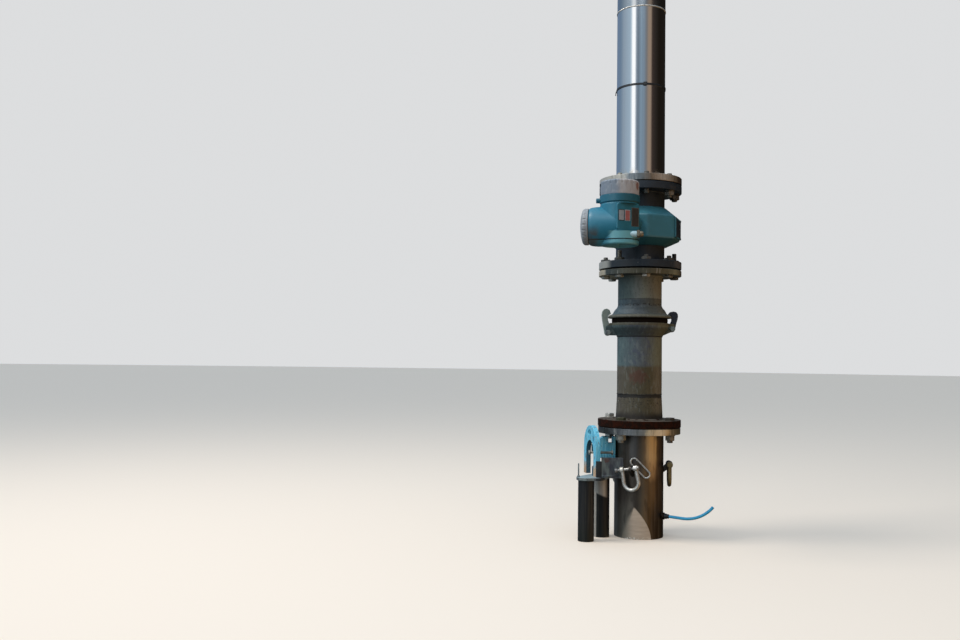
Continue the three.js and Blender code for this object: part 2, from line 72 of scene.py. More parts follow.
# Camera: 600 mm above the column's foot and 3.3 m in front of it, tipped up and rolled a little

CAMERA_PLACE = (-558.8, -3263.0, 600.0)
CAMERA_TIP = 2.45
CAMERA_ROLL = 0.75
VIEW_TURN = math.atan2(-CAMERA_PLACE[0], -CAMERA_PLACE[1])
FOCAL_PIXELS = 933.0
PICTURE_WIDTH = 960.0
SENSOR = 36.0


def set_camera():
    """The camera looks level along Y before it is tipped and rolled."""
    data = bpy.data.cameras.new("camera")
    data.sensor_width = SENSOR
    data.lens = FOCAL_PIXELS / PICTURE_WIDTH * SENSOR
    camera = bpy.data.objects.new("camera", data)
    tip = Matrix.Rotation(math.radians(90 + CAMERA_TIP), 4, "X")
    roll = Matrix.Rotation(math.radians(CAMERA_ROLL), 4, "Z")
    camera.matrix_world = Matrix.Translation(np.array(CAMERA_PLACE) * MM + AXIS) @ tip @ roll
    bpy.context.scene.collection.objects.link(camera)
    bpy.context.scene.camera = camera


# Shader sums

class Level:
    """A number that varies over a surface. An arithmetic sign between levels or numbers adds a Math
    node."""

    def __init__(self, tree, socket):
        self.tree = tree
        self.socket = socket

    def sum(self, operation, first, second):
        return self.tree.node("ShaderNodeMath", {"operation": operation}, {0: first, 1: second})

    def __add__(self, other):
        return self.sum("ADD", self, other)

    def __sub__(self, other):
        return self.sum("SUBTRACT", self, other)

    def __rsub__(self, other):
        return self.sum("SUBTRACT", other, self)

    def __mul__(self, other):
        return self.sum("MULTIPLY", self, other)

    def __truediv__(self, other):
        return self.sum("DIVIDE", self, other)

    def __abs__(self):
        return self.sum("ABSOLUTE", self, 0.0)

    __radd__ = __add__
    __rmul__ = __mul__


class Tree:
    """A node tree that grows by one method."""

    def __init__(self, tree):
        self.tree = tree

    def node(self, kind, settings=(), inputs=(), output=0):
        """Adds a node: its settings or ramp stops first, then the values or links of its sockets."""
        made = self.tree.nodes.new(kind)
        for name, value in dict(settings).items():
            if name == "stops":
                self.set_stops(made.color_ramp, value)
            else:
                setattr(made, name, value)
        for key, value in dict(inputs).items():
            if isinstance(value, Level):
                self.tree.links.new(value.socket, made.inputs[key])
            else:
                made.inputs[key].default_value = value
        return Level(self, made.outputs[output])

    def set_stops(self, ramp, stops):
        for position, colour in stops[len(ramp.elements):]:
            ramp.elements.new(position)
        for element, (position, colour) in zip(ramp.elements, stops):
            element.position = position
            element.color = colour

    def ramp(self, level, tones):
        """Colours along a level: each tone is a value of it and the colour there."""
        low, high = tones[0][0], tones[-1][0]
        stops = [((value - low) / (high - low), tone(code)) for value, code in tones]
        return self.node("ShaderNodeValToRGB", {"stops": stops}, {0: (level - low) / (high - low)})

    def axes(self, vector):
        """The x, y and z of a vector."""
        return [self.node("ShaderNodeSeparateXYZ", inputs={0: vector}, output=name) for name in "XYZ"]

    def azimuth(self, x, y):
        """The azimuth in degrees: the arc tangent of x over -y."""
        angle = self.node("ShaderNodeMath", {"operation": "ARCTAN2"}, {0: x, 1: 0.0 - y})
        return angle * math.degrees(1)

    def step(self, level, low, high):
        """0 below low, 1 above high, and a smooth rise between. The other way round if low is above
        high."""
        values = {0: level, 1: min(low, high), 2: max(low, high), 3: 0.0 if low < high else 1.0}
        values[4] = 1.0 - values[3]
        return self.node("ShaderNodeMapRange", {"interpolation_type": "SMOOTHSTEP"}, values)

    def blend(self, factor, first, second):
        """The first colour where the factor is 0 and the second where it is 1."""
        pair = [tone(colour) if isinstance(colour, str) else colour for colour in (first, second)]
        values = {0: factor, 6: pair[0], 7: pair[1]}
        return self.node("ShaderNodeMix", {"data_type": "RGBA"}, values, output=2)


def tone(code):
    """A screen colour such as 4f5b61 as linear light."""
    shown = np.array([int(code[i:i + 2], 16) for i in (0, 2, 4)]) / 255
    return (*np.where(shown <= 0.04045, shown / 12.92, ((shown + 0.055) / 1.055) ** 2.4), 1.0)


class Paint(Tree):
    """A finish of a slot: a Principled shader with levels in millimetres about the column's axis."""

    def __init__(self, name, slot="", **fixed):
        self.material = bpy.data.materials.new(name)
        self.material.use_nodes = True
        super().__init__(self.material.node_tree)
        self.slot = slot or name
        self.shader = self.tree.nodes["Principled BSDF"]
        coordinates = self.node("ShaderNodeTexCoord", output="Object")
        values = {"Vector": coordinates, "Location": -AXIS / MM, "Scale": (1 / MM,) * 3}
        self.place = self.node("ShaderNodeMapping", inputs=values)
        self.x, self.y, self.z = self.axes(self.place)
        self.set(**fixed)

    def turn(self):
        return self.azimuth(self.x, self.y)

    def set(self, **sockets):
        """Socket names are written with _ for a blank."""
        for name, value in sockets.items():
            socket = self.shader.inputs[name.replace("_", " ")]
            if isinstance(value, Level):
                self.tree.links.new(value.socket, socket)
            else:
                socket.default_value = value

    def grain(self, size, detail=3.0, stretch=(1, 1, 1), offset=0.0):
        """Noise whose patches are about size millimetres across, stretched along the axes."""
        values = {"Vector": self.place, "Location": (offset,) * 3, "Scale": 1 / np.array(stretch)}
        vector = self.node("ShaderNodeMapping", inputs=values)
        values = {"Vector": vector, "Scale": 1.0 / size, "Detail": detail}
        return self.node("ShaderNodeTexNoise", inputs=values)

    def across(self):
        """Millimetres right of the axis as the camera sees it."""
        return self.x * math.cos(VIEW_TURN) - self.y * math.sin(VIEW_TURN)

    def near(self, level, centre, half, soft):
        """1 within half of the centre, falling to 0 over a soft margin."""
        return self.step(abs(level - centre), half + soft, half)

    def spot(self, across, upright, uneven, edge):
        """A round patch: it fades where across * across + upright * upright + uneven passes an edge."""
        return self.step(across * across + upright * upright + uneven, *edge)

    def flecks(self, size, detail, offset, edge, share, over):
        """Small specks of another colour, where fine noise passes an edge."""
        self.coat(self.step(self.grain(size, detail, offset=offset), *edge) * share, over)

    def coat(self, factor, over):
        """Lays another colour over the colour so far where the factor is 1."""
        self.colour = self.blend(factor, self.colour, over)

    def finish(self, roughness, height, depth, strength=0.6, **more):
        """Sets the colour so far, the roughness and a bump: a height of 1 is depth millimetres."""
        values = {"Height": height, "Distance": depth * MM, "Strength": strength}
        self.set(Normal=self.node("ShaderNodeBump", inputs=values))
        self.set(Base_Color=self.colour, Roughness=roughness, **more)
        return self


# Finishes

def bright_stainless():
    """Drawn stainless: straight soft draw lines, a pale mottled haze over the flange that is partly
    painted highlight flares, greyer above the weld."""
    paint = Paint("bright_stainless", "stainless", Metallic=1.0)
    lines = paint.grain(6, 3, (1, 1, 300))
    mottle = paint.grain(12, 4, (1, 1, 1.6), 40)
    # The pale mottled patch over the flange is partly haze and partly painted highlight flares.
    haze_and_painted_flare = paint.step(paint.z + 60 * paint.grain(35), 1305, 1268) * paint.step(mottle, 0.42, 0.6)
    above = paint.step(paint.z, 1833, 1836)
    paint.colour = paint.blend(lines, "c2c4c6", "d4d6d8")
    paint.coat(haze_and_painted_flare * 0.8, "cfc6ba")
    paint.coat(above * 0.6, "94999c")
    return paint.finish(0.1 + 0.05 * lines + 0.28 * haze_and_painted_flare + 0.08 * above, lines, 0.05, 0.4)


# Tones by azimuth of the lower pipe: the gold tones right of the front are partly a stain and partly a
# painted reflection of a lit wall.
WET_TONES = [
    (-180, "5c544c"), (-90, "6e6056"), (-62, "75675c"), (-37, "48423c"), (-24, "46403a"),
    (-14, "554b42"), (-6, "6e6050"), (3, "8a765c"), (11, "a8906e"), (19, "c8aa80"), (29, "c0a078"),
    (36, "6a5846"), (46, "4c4036"), (62, "463c32"), (180, "5c544c"),
]


def wet_stainless():
    """Dull lower pipe: dark grey at the left, a greyer stripe left of the front and a gold band right of
    it, partly stain and partly painted reflection, both high up, brown and dim lower at the right where
    that reflection fades, and a pale rounded fin of painted sunlight that rises from the foot. The fin's
    edge stands at 111 (1 - s) to the 0.53, where s is the way from its peak to its foot. The edge is
    soft at the left and sharp at the right."""
    paint = Paint("wet_stainless")
    turn = paint.turn()
    streaks = paint.grain(9, 4, (1, 1, 26))
    clouds = paint.grain(24, 4, (1, 1, 2.5), 90)
    paint.colour = paint.ramp(turn + 10 * (clouds - 0.5), WET_TONES)
    # A gold band right of the front, high up: partly stain and partly a painted reflection of a lit
    # wall.
    golden_stain_and_reflection = paint.near(turn + 8 * (clouds - 0.5), 21, 10, 8) * paint.step(paint.z, 235, 285)
    paint.coat(golden_stain_and_reflection * 0.55, "ead0a2")
    stripe = paint.near(turn + 6 * (clouds - 0.5), -22, 5, 8) * paint.step(paint.z, 240, 290)
    paint.coat(stripe * 0.45, "6e7274")
    # Darker and browner lower down at the right, near-black at the foot there: the painted reflection
    # fades.
    dim = paint.step(paint.z + 60 * (clouds - 0.5), 245, 190) * paint.step(turn, -4, 14)
    paint.coat(dim * 0.75, "36281b")
    low = paint.step(paint.z + 60 * (clouds - 0.5), 160, 50)
    paint.coat(low * 0.85 * paint.step(turn, 6, 28), "1c120a")
    paint.coat(low * 0.6 * paint.near(turn, -52, 22, 14), "a29c8e")
    paint.coat(paint.step(streaks, 0.45, 0.68) * 0.25, "77706a")
    dark = paint.step(paint.grain(14, 4, (1, 1, 4), 33), 0.56, 0.7)
    paint.coat(dark * 0.35, "231f1b")
    # The pale fin is painted sunlight on the pipe, greyer towards its soft left edge.
    across = paint.across() + 16
    steep = across.sum("MAXIMUM", across / 58, across / -40)
    edge = 111 * steep.sum("POWER", steep.sum("MAXIMUM", 1 - steep, 0.0), 0.53)
    soft = 34 - 30 * paint.step(across, -14, 6)
    sunlit_fin = paint.step((edge - paint.z) / soft, 0, 1) * paint.near(turn, -14, 50, 12)
    ripples = paint.grain(5, 4, (9, 9, 1), 61)
    pale = paint.blend(ripples, "bda48a", "e8d2ba")
    pale = paint.blend(paint.step(across, -34, 2), "8e8474", pale)
    paint.coat(sunlit_fin * 0.92, pale)
    tide = paint.near(paint.z + 4 * paint.grain(5), 6, 2, 3) * paint.step(paint.grain(5, 4), 0.54, 0.62)
    paint.coat(tide * paint.near(turn, -12, 26, 14), "f2ece0")
    rough = 0.36 + 0.16 * streaks + 0.25 * sunlit_fin
    height = 0.5 * streaks + 0.6 * sunlit_fin * ripples + 0.5 * clouds
    return paint.finish(rough, height, 0.3, Metallic=0.8 - 0.75 * sunlit_fin)


# Tones by azimuth of the stainless flanges, with painted light in them. On the riser flange the pale
# left, the pale tan band right of the front and the dark right are painted reflections. On the counter
# flange the cream left end is painted sunlight and the dark olive middle painted shade. On the deck
# flange the pale gold band right of the front is a painted reflection.
RISER_TONES = [
    (-180, "6a5f50"), (-90, "cbc3b6"), (-34, "c2bcb1"), (-26, "818a90"), (-6, "737879"), (6, "8c7863"),
    (24, "ccbeaf"), (36, "b0a292"), (46, "85745f"), (54, "56463a"), (90, "463b32"), (180, "6a5f50"),
]
COUNTER_TONES = [
    (-180, "4c4a40"), (-90, "e2d0b2"), (-70, "d8c7aa"), (-62, "4e5350"), (-20, "5a5748"),
    (20, "625a45"), (36, "7c7863"), (50, "a1997b"), (64, "6e5f4a"), (180, "4c4a40"),
]
DECK_TONES = [
    (-180, "55504a"), (-80, "3e3c3a"), (-52, "4a4a4a"), (-20, "787c7e"), (0, "908b80"), (5, "e0cba6"),
    (22, "fbe9ca"), (32, "d4b688"), (40, "8a7c66"), (52, "776d58"), (90, "676153"), (180, "55504a"),
]


def stained_flange(name, tones):
    """Machined stainless with water stains that run down the rim. Its tones go by azimuth and hold
    painted light, shade and reflections.
    """
    paint = Paint(name, "stained_flange", Metallic=0.55)
    streaks = paint.grain(6, 4, (1, 1, 8), 5)
    patches = paint.grain(30, 3, offset=77)
    paint.colour = paint.ramp(paint.turn() + 16 * (patches - 0.5), tones)
    paint.coat(paint.step(streaks, 0.5, 0.68) * 0.4, "35302a")
    paint.coat(paint.step(streaks, 0.45, 0.3) * 0.3, "d6d0c4")
    return paint.finish(0.36 + 0.2 * patches, paint.grain(1.5, 3) + streaks, 0.12, 0.5)


def rusty_flange_paint():
    """Near-black brown paint over rust, scabby at the rim and dusty on top, with redder bare specks."""
    paint = Paint("rusty_flange_paint")
    scabs = paint.grain(12, 5, (1, 1, 1.5))
    paint.colour = paint.blend(paint.step(scabs, 0.4, 0.65), "1f0e05", "341406")
    paint.flecks(4, 5, 8, (0.64, 0.74), 0.6, "5a2810")
    dust = paint.step(paint.z, 401.0, 402.3) * paint.step(paint.grain(16, 4), 0.3, 0.55)
    paint.coat(dust * 0.8, "6f675c")
    return paint.finish(0.75 + 0.25 * scabs, scabs, 0.7, 0.7, Specular_IOR_Level=0.12)


# Tones by azimuth of the coupling's paint. In COUPLING_HIGH the lighter olive at the right is partly the
# paint's own colour and partly painted light from that side.
COUPLING_HIGH = [
    (-180, "606a68"), (-100, "566a6e"), (-62, "56696a"), (-38, "4f5d60"), (-12, "50575b"),
    (8, "565855"), (40, "747058"), (95, "7a7458"), (180, "606a68"),
]
COUPLING_LOW = [
    (-180, "5e5444"), (-62, "585042"), (-12, "49412c"), (20, "51462c"), (40, "70624a"), (180, "5e5444"),
]
SPIGOT_TONES = [
    (-180, "6a6c64"), (-62, "4a5c5a"), (-36, "5c6a66"), (-14, "7e827c"), (0, "848678"), (18, "7e7c70"),
    (40, "8c8470"), (180, "6a6c64"),
]
DOME_TONES = [
    (-180, "4c5250"), (-62, "45575f"), (-12, "4a5257"), (14, "4e4f48"), (42, "625a48"), (180, "4c5250"),
]


# Middle height, half height, soft margin, share and colour
COUPLING_BANDS = {
    "brim of the bell": (756, 5, 4, 0.7, "6a6450"),
    # The near-black band under the bell's brim is painted shadow.
    "painted shadow under the brim": (747, 4, 2, 0.9, "1d120a"),
    "top of the cup": (732, 4, 4, 0.7, "5c5238"),
    "where the cup widens": (706, 12, 8, 0.45, "26302c"),
}


def column_paint():
    """Matt blue-grey paint of the quick coupling, olive at the right and lighter there with painted
    light, with bluer blotches at the front of the socket. Below the middle of the socket it is brown and
    olive all round with a soft rust patch, dark and scratched about the weld. The socket's cup is olive
    under its top and darker where it widens, and the bell's brim is brown over a painted shadow line.
    Above the bell the paint is paler, with rust pits round the bell's neck."""
    paint = Paint("column_paint")
    clouds = paint.grain(34, 4, (1, 1, 1.6), 12)
    streaks = paint.grain(8, 5, (1, 1, 3.5))
    fine = paint.grain(5, 5, (1, 1, 1.4), 70)
    turn = paint.turn() + 30 * (clouds - 0.5)
    paint.colour = paint.ramp(turn, COUPLING_HIGH)
    blotch = paint.step(paint.grain(13, 4, (1, 1, 1.4), 5), 0.48, 0.62) * paint.near(turn, -8, 24, 16)
    paint.coat(blotch * 0.5, "45485c")
    low = paint.step(paint.z + 16 * (clouds - 0.5), 591, 579)
    paint.coat(low, paint.ramp(turn, COUPLING_LOW))
    paint.coat(paint.step(paint.z, 745, 755), paint.ramp(turn, DOME_TONES))
    paint.coat(paint.step(paint.z + 8 * (clouds - 0.5), 812, 822), paint.ramp(turn, SPIGOT_TONES))
    for height, half, soft, share, over in COUPLING_BANDS.values():
        paint.coat(paint.near(paint.z, height, half, soft) * share, over)
    paint.coat(paint.step(streaks, 0.52, 0.7) * 0.22, "8d928c")
    paint.coat(paint.step(streaks, 0.46, 0.3) * 0.3, "262a27")
    paint.coat(paint.step(fine, 0.58, 0.7) * 0.45, "232420")
    uneven = 3.0 * (paint.grain(13, 5) - 0.5)
    patch = paint.spot((paint.turn() + 13) / 23, (paint.z - 551) / 27, uneven, (1.5, 0.2))
    paint.coat(patch * 0.75, "54301f")
    speck = paint.step(paint.grain(4, 3, (1, 1, 1.5), 33), 0.68, 0.74)
    paint.coat(speck * (0.25 + 0.75 * paint.near(paint.z, 470, 7, 7)) * 0.7, "b4b8ae")
    scratch = paint.step(paint.grain(5, 5, (1.4, 1.4, 1), 44), 0.56, 0.64)
    paint.coat(scratch * paint.near(paint.z, 462, 12, 12) * 0.7, "17130e")
    foot = paint.step(paint.z + 20 * (clouds - 0.5), 436, 412)
    paint.coat(foot * 0.85, "1c120b")
    weld = paint.near(paint.z + 12 * (paint.grain(14) - 0.5), 484, 5, 4)
    groove = paint.near(paint.z, 688.5, 1.2, 1.8)
    paint.coat((groove + weld) * paint.step(clouds, 0.2, 0.4) * 0.9, "130e0a")
    pits = paint.near(paint.z + 5 * (paint.grain(20) - 0.5), 797, 2.5, 3)
    pits = pits * paint.step(paint.grain(6, 3), 0.5, 0.6)
    ledge = paint.near(paint.z, 817, 0.8, 1.4)
    paint.coat(pits * 0.85 + ledge * 0.5, "15110d")
    height = streaks * 0.4 + clouds + 0.6 * patch * paint.grain(3, 4) + 0.5 * fine - pits
    return paint.finish(0.52 + 0.2 * clouds, height, 0.6)


def meter_navy_paint():
    """Satin near-black navy enamel with dust and small chips."""
    paint = Paint("meter_navy_paint")
    clouds = paint.grain(22, 4)
    paint.colour = paint.blend(clouds, "141d25", "252f38")
    # On the lower flange's rim the pale left end is painted sunlight; the right end is painted
    # grey-brown.
    rim = paint.step(paint.x * paint.x + paint.y * paint.y, 19000, 20000)
    rim = rim * paint.step(paint.z, 1000, 990)
    paint.coat(rim * paint.step(paint.turn(), -50, -64) * 0.7, "b9b7ac")
    paint.coat(rim * paint.step(paint.turn(), 38, 52) * 0.7, "5e5650")
    paint.flecks(5, 5, 3, (0.7, 0.74), 0.7, "8c8a86")
    brown = paint.step(paint.grain(28, 3, offset=50), 0.56, 0.7) * paint.step(paint.x, 20, 110)
    paint.coat(brown * 0.5, "5a4c40")
    return paint.finish(0.34 + 0.25 * clouds, paint.grain(3, 4), 0.2, 0.5)


def teal_enamel():
    """Satin blue-green enamel on rough castings: bluer on the head, greyer and greener on the meter's
    housing, darker on the ring under the cover and in the head's low seam, brown with dirt low on the
    compartment."""
    paint = Paint("teal_enamel", Coat_Weight=0.12, Coat_Roughness=0.25)
    clouds = paint.grain(32, 4)
    fine = paint.grain(2.2, 4)
    away = paint.step(paint.y, -190, -130)
    head = 1 - away
    # Lighter and bluer at the left, darker at the right: painted sky light and shade.
    paint.colour = paint.blend(paint.step(paint.x, -150, -95), "24778f", "12626f")
    paint.coat(away, "3a7581")
    paint.coat(paint.step(clouds, 0.5, 0.74) * 0.3, "3f8ba2")
    collar = paint.step(paint.z, 1108, 1111) * head
    paint.coat(collar * 0.4, "123c48")
    # A pale mint patch under the panel, low on the head, is painted sunlight.
    under = paint.step(paint.z + 8 * (clouds - 0.5), 1018, 1014) * paint.near(paint.x, -106, 36, 18)
    paint.coat(under * head * 0.7, "7dbcc0")
    seam = paint.near(paint.z, 990.6, 1.2, 1.0) * head
    paint.coat(seam * 0.95, "0a1418")
    base = paint.step(paint.z, 989.8, 989.2) * head
    paint.coat(base * 0.5, "5fa3ae")
    end = paint.step(paint.x, -178, -196) * paint.step(paint.z, 1042, 1000)
    paint.coat(end * paint.step(clouds, 0.3, 0.6) * 0.8, "5d5147")
    paint.flecks(6, 5, 21, (0.7, 0.74), 0.7, "2a3236")
    return paint.finish(0.36 + 0.22 * clouds, fine + clouds, 0.3)


def grey_cover_paint():
    """Faded grey enamel of the screwed covers: bluish at the left in painted shade, warmer at the right,
    dust in soft patches and a rust run at the top cover's right."""
    paint = Paint("grey_cover_paint")
    clouds = paint.grain(20, 4)
    streaks = paint.grain(4, 4, (1, 1, 6), 9)
    # The bluish left of the top cover is painted shade.
    right = paint.step(paint.x + 20 * (clouds - 0.5), -135, -112)
    paint.colour = paint.blend(right, "7c8692", "ada5a2")
    paint.coat(paint.step(paint.z, 1110, 1100), "9c9fa2")
    paint.coat(paint.step(clouds, 0.5, 0.7) * 0.35, "b9bcbc")
    paint.coat(paint.step(streaks, 0.56, 0.7) * 0.35, "5f5b5a")
    uneven = 1.6 * (paint.grain(6, 4) - 0.5)
    spot = paint.spot((paint.x + 60) / 6, (paint.z - 1163) / 15, uneven, (1.2, 0.3))
    paint.coat(spot * paint.step(paint.y, -200, -230) * 0.8, "7d4128")
    return paint.finish(0.5 + 0.2 * clouds, paint.grain(2, 4), 0.25, 0.5)


CLAW = {"x": -168.0, "y": -42.0, "turn": 10.5, "foot": 212.3, "shoulder": 96.0}
CLAW_OPENING = {"half": 41.0, "rise": 43.0}


def claw_blue_paint():
    """Light blue enamel, chalky and streaked: dark navy painted shade on the faces inside the arch, tan
    and orange where it is worn at the feet, and one rust patch on the right leg."""
    paint = Paint("claw_blue_paint")
    clouds = paint.grain(24, 4)
    streaks = paint.grain(5, 4, (1, 1, 8), 14)
    paint.colour = paint.blend(paint.step(streaks, 0.3, 0.7), "58bfe0", "8fe0f5")
    wear = paint.grain(13, 5, (1, 1, 1.8), 60)
    turn = math.radians(CLAW["turn"])
    along = (paint.y - CLAW["y"]) * math.cos(turn) - (paint.x - CLAW["x"]) * math.sin(turn)
    rise = paint.z - CLAW["foot"] - CLAW["shoulder"] + 20
    rise = rise.sum("MAXIMUM", rise, 0.0)
    half, most = CLAW_OPENING["half"], CLAW_OPENING["rise"]
    # The faces inside the arch are painted dark navy: painted shade.
    inside = paint.spot(along / half, rise / most, 0.0, (1.02, 0.94))
    inside = inside * paint.step(paint.x, -140, -150)
    paint.coat(inside * 0.9, "12303f")
    feet = paint.step(paint.z + 46 * (wear - 0.5), 262, 230) * (1 - inside)
    paint.coat(feet * 0.9, paint.blend(clouds, "cc8242", "dfbf92"))
    rust = paint.step(wear + paint.step(paint.z, 330, 280) * 0.05, 0.64, 0.7)
    paint.coat(rust * 0.8, "9c6a48")
    paint.flecks(9, 4, 31, (0.66, 0.72), 0.7, "1f4a66")
    return paint.finish(0.4 + 0.25 * wear, wear + streaks * 0.4, 0.5)


def bracket_steel():
    """Dark grey-purple weathered paint on plate, lighter green-grey in upright bands, a reddish spot
    and painted sunlight on the top edge at the left."""
    paint = Paint("bracket_steel", Metallic=0.15)
    clouds = paint.grain(17, 4, (1, 1, 3))
    paint.colour = paint.blend(paint.step(clouds, 0.35, 0.66), "55555c", "88928e")
    right = paint.near(paint.x, -150, 14, 4) * paint.step(paint.y, -110, -116)
    paint.coat(right * 0.9, "15161a")
    uneven = 1.5 * (paint.grain(7, 4) - 0.5)
    red = paint.spot((paint.x + 120) / 10, (paint.z - 262) / 8, uneven, (1.2, 0.4))
    paint.coat(red * 0.6, "7a4438")
    # A bright top edge at the left is painted sunlight.
    top = paint.step(paint.z, 211, 212.1) * paint.step(paint.z, 213.2, 212.6)
    paint.coat(top * paint.step(paint.x, -148, -166), "a5b5b8")
    return paint.finish(0.42 + 0.2 * clouds, clouds + paint.grain(2, 4), 0.3)


def guide_tube_steel():
    """Dark weathered tube, nearly black: on the back tube a pale patch of painted sunlight runs down its
    upper left to a slanting shadow edge, with a narrow strip of it to the foot."""
    paint = Paint("guide_tube_steel", Metallic=0.3)
    streaks = paint.grain(6, 4, (1, 1, 26), 2)
    paint.colour = paint.blend(paint.step(streaks, 0.4, 0.7), "1c1c1e", "38352f")
    low = paint.step(paint.z + 40 * (streaks - 0.5), 90, 10)
    paint.coat(low * 0.6, "20231a")
    # The pale patch and the strip on the back tube are painted sunlight.
    across = paint.across() + 126
    pale = paint.step(paint.z - 142 + 0.4 * across, -3, 6) * paint.step(across, 24, 8)
    strip = paint.step(across, -15, -19)
    back = paint.step(paint.x, -168, -160) * paint.step(paint.y, -6, -17)
    pale = pale.sum("MAXIMUM", pale, strip) * back
    paint.coat(pale * 0.85, paint.blend(streaks, "cfc0ae", "f2e6d6"))
    return paint.finish(0.36 + 0.3 * streaks, streaks, 0.25)


def shackle_steel():
    """Satin stainless with faint brown tea stains."""
    paint = Paint("shackle_steel", Metallic=0.75)
    stain = paint.step(paint.grain(9, 4), 0.46, 0.7)
    paint.colour = paint.blend(stain * 0.6, "e2ded6", "a5937c")
    return paint.finish(0.32 + 0.2 * stain, paint.grain(4, 3), 0.1, 0.4)


# Tones by azimuth of the fasteners: the dark brown at the right is partly water stains and partly
# painted shade.
BOLT_TONES = [
    (-180, "b9b3a8"), (-130, "c9c4ba"), (-60, "8c8a80"), (-30, "99958a"), (10, "b0aaa0"),
    (40, "6d6152"), (70, "4a3b2c"), (150, "4d4134"), (180, "b9b3a8"),
]


def zinc_steel(name, light, dark, shine):
    """Bolts, nuts and washers: dull silver at the left and the back, brown and dark at the right, partly
    water stains and partly painted shade."""
    paint = Paint(name, "stained_flange", Metallic=shine)
    spots = paint.grain(8, 4)
    paint.colour = paint.ramp(paint.turn() + 20 * (spots - 0.5), BOLT_TONES)
    paint.coat(paint.step(spots, 0.35, 0.65) * light, "d8d4ca")
    paint.coat(dark, "1c1a18")
    return paint.finish(0.38 + 0.25 * spots, spots, 0.15, 0.5)


def weld_steel():
    """Bare weld bead with straw and blue heat tint."""
    paint = Paint("weld_steel", "stainless", Metallic=0.9)
    spots = paint.grain(6, 4)
    paint.colour = paint.blend(paint.step(spots, 0.35, 0.65), "9d9892", "d2cdc4")
    return paint.finish(0.3 + 0.25 * spots, paint.grain(2, 3), 0.25)


def plain_finish(name, slot, dark, light, roughness, size=8, depth=0.2, **fixed):
    """A finish of two near tones in soft patches, with a slight unevenness of that depth."""
    paint = Paint(name, slot, **fixed)
    clouds = paint.grain(size, 4)
    paint.colour = paint.blend(clouds, dark, light)
    return paint.finish(roughness + 0.2 * clouds, clouds, depth)


FINISHES = {paint.slot: paint for paint in (
    bright_stainless(),
    wet_stainless(),
    stained_flange("riser_flange_steel", RISER_TONES),
    rusty_flange_paint(),
    column_paint(),
    meter_navy_paint(),
    teal_enamel(),
    grey_cover_paint(),
    plain_finish("gland_brass", "gland_brass", "6f6250", "a3947c", 0.3, Metallic=0.6),
    plain_finish("black_rubber", "black_rubber", "141416", "2a2a2c", 0.6),
    plain_finish("black_plastic", "black_plastic", "111214", "26272a", 0.35),
    claw_blue_paint(),
    bracket_steel(),
    guide_tube_steel(),
    shackle_steel(),
    plain_finish("blue_nylon", "blue_nylon", "1f9ccf", "48bfe6", 0.2, 20, 0.05),
)}
COUNTER_FLANGE = stained_flange("counter_flange_steel", COUNTER_TONES)
DECK_FLANGE = stained_flange("deck_flange_steel", DECK_TONES)
ZINC = zinc_steel("zinc_steel", 0.3, 0.0, 0.7)
DARK_ZINC = zinc_steel("dark_bolt_steel", 0.1, 0.65, 0.5)
OLIVE_BOLT = plain_finish(
    "olive_bolt", "stained_flange", "3d3a2a", "5c573f", 0.45, depth=0.15, Metallic=0.4
)
PIN_STEEL = plain_finish(
    "pin_steel", "shackle_steel", "9a9896", "d0ccc6", 0.3, 9, 0.1, Metallic=0.75
)
# The side shackle's brown is painted shade with a painted reflection of a lit wall.
SHADED_SHACKLE = plain_finish(
    "shaded_shackle", "shackle_steel", "66573a", "9c875a", 0.38, 9, 0.1, Metallic=0.6
)
SEAL = plain_finish(
    "seal_rubber", "black_rubber", "120b06", "20150c", 0.75, Specular_IOR_Level=0.15
)
WELD = weld_steel()
PALE_LATCH = plain_finish("pale_latch_paint", "column_paint", "7d8982", "a5aea4", 0.45, 10, 0.3)
DARK_LATCH = plain_finish("dark_latch_paint", "column_paint", "141a24", "2a3340", 0.4, 10, 0.3)
PALE_PLATE = plain_finish(
    "pale_plate", "grey_cover_paint", "8a9098", "b6babe", 0.3, 14, 0.05, Metallic=0.3
)
RED_PLATE = plain_finish("red_plate", "grey_cover_paint", "8e3f3a", "b8706a", 0.4, 9, 0.05)
DARK_FRAME = plain_finish("dark_frame", "black_plastic", "3c3630", "6a6056", 0.35, 9, 0.05)
DARK_PLATE = plain_finish("dark_plate", "black_plastic", "1a1715", "3d342c", 0.35, 9, 0.05)
BLUE_GREY_BOSS = plain_finish("blue_grey_boss", "gland_brass", "a9ced6", "cfe8ec", 0.35, 9, 0.1)


# Shapes. A shell is its points and its blocks of faces.

def grid(points, loop=False):
    """Quads between the rows of points, closed round the columns, and over the rows too if they loop.
    Otherwise a flat face closes the first row and another the last."""
    rows, columns = points.shape[:2]
    number = np.arange(rows * columns).reshape(rows, columns)
    blocks = [] if loop else [number[:1], number[-1:, ::-1]]
    if loop:
        number = np.vstack([number, number[:1]])
    beside = np.roll(number, -1, axis=1)
    quads = np.stack([number[:-1], number[1:], beside[1:], beside[:-1]], -1)
    return points.reshape(-1, 3), [quads.reshape(-1, 4), *blocks]


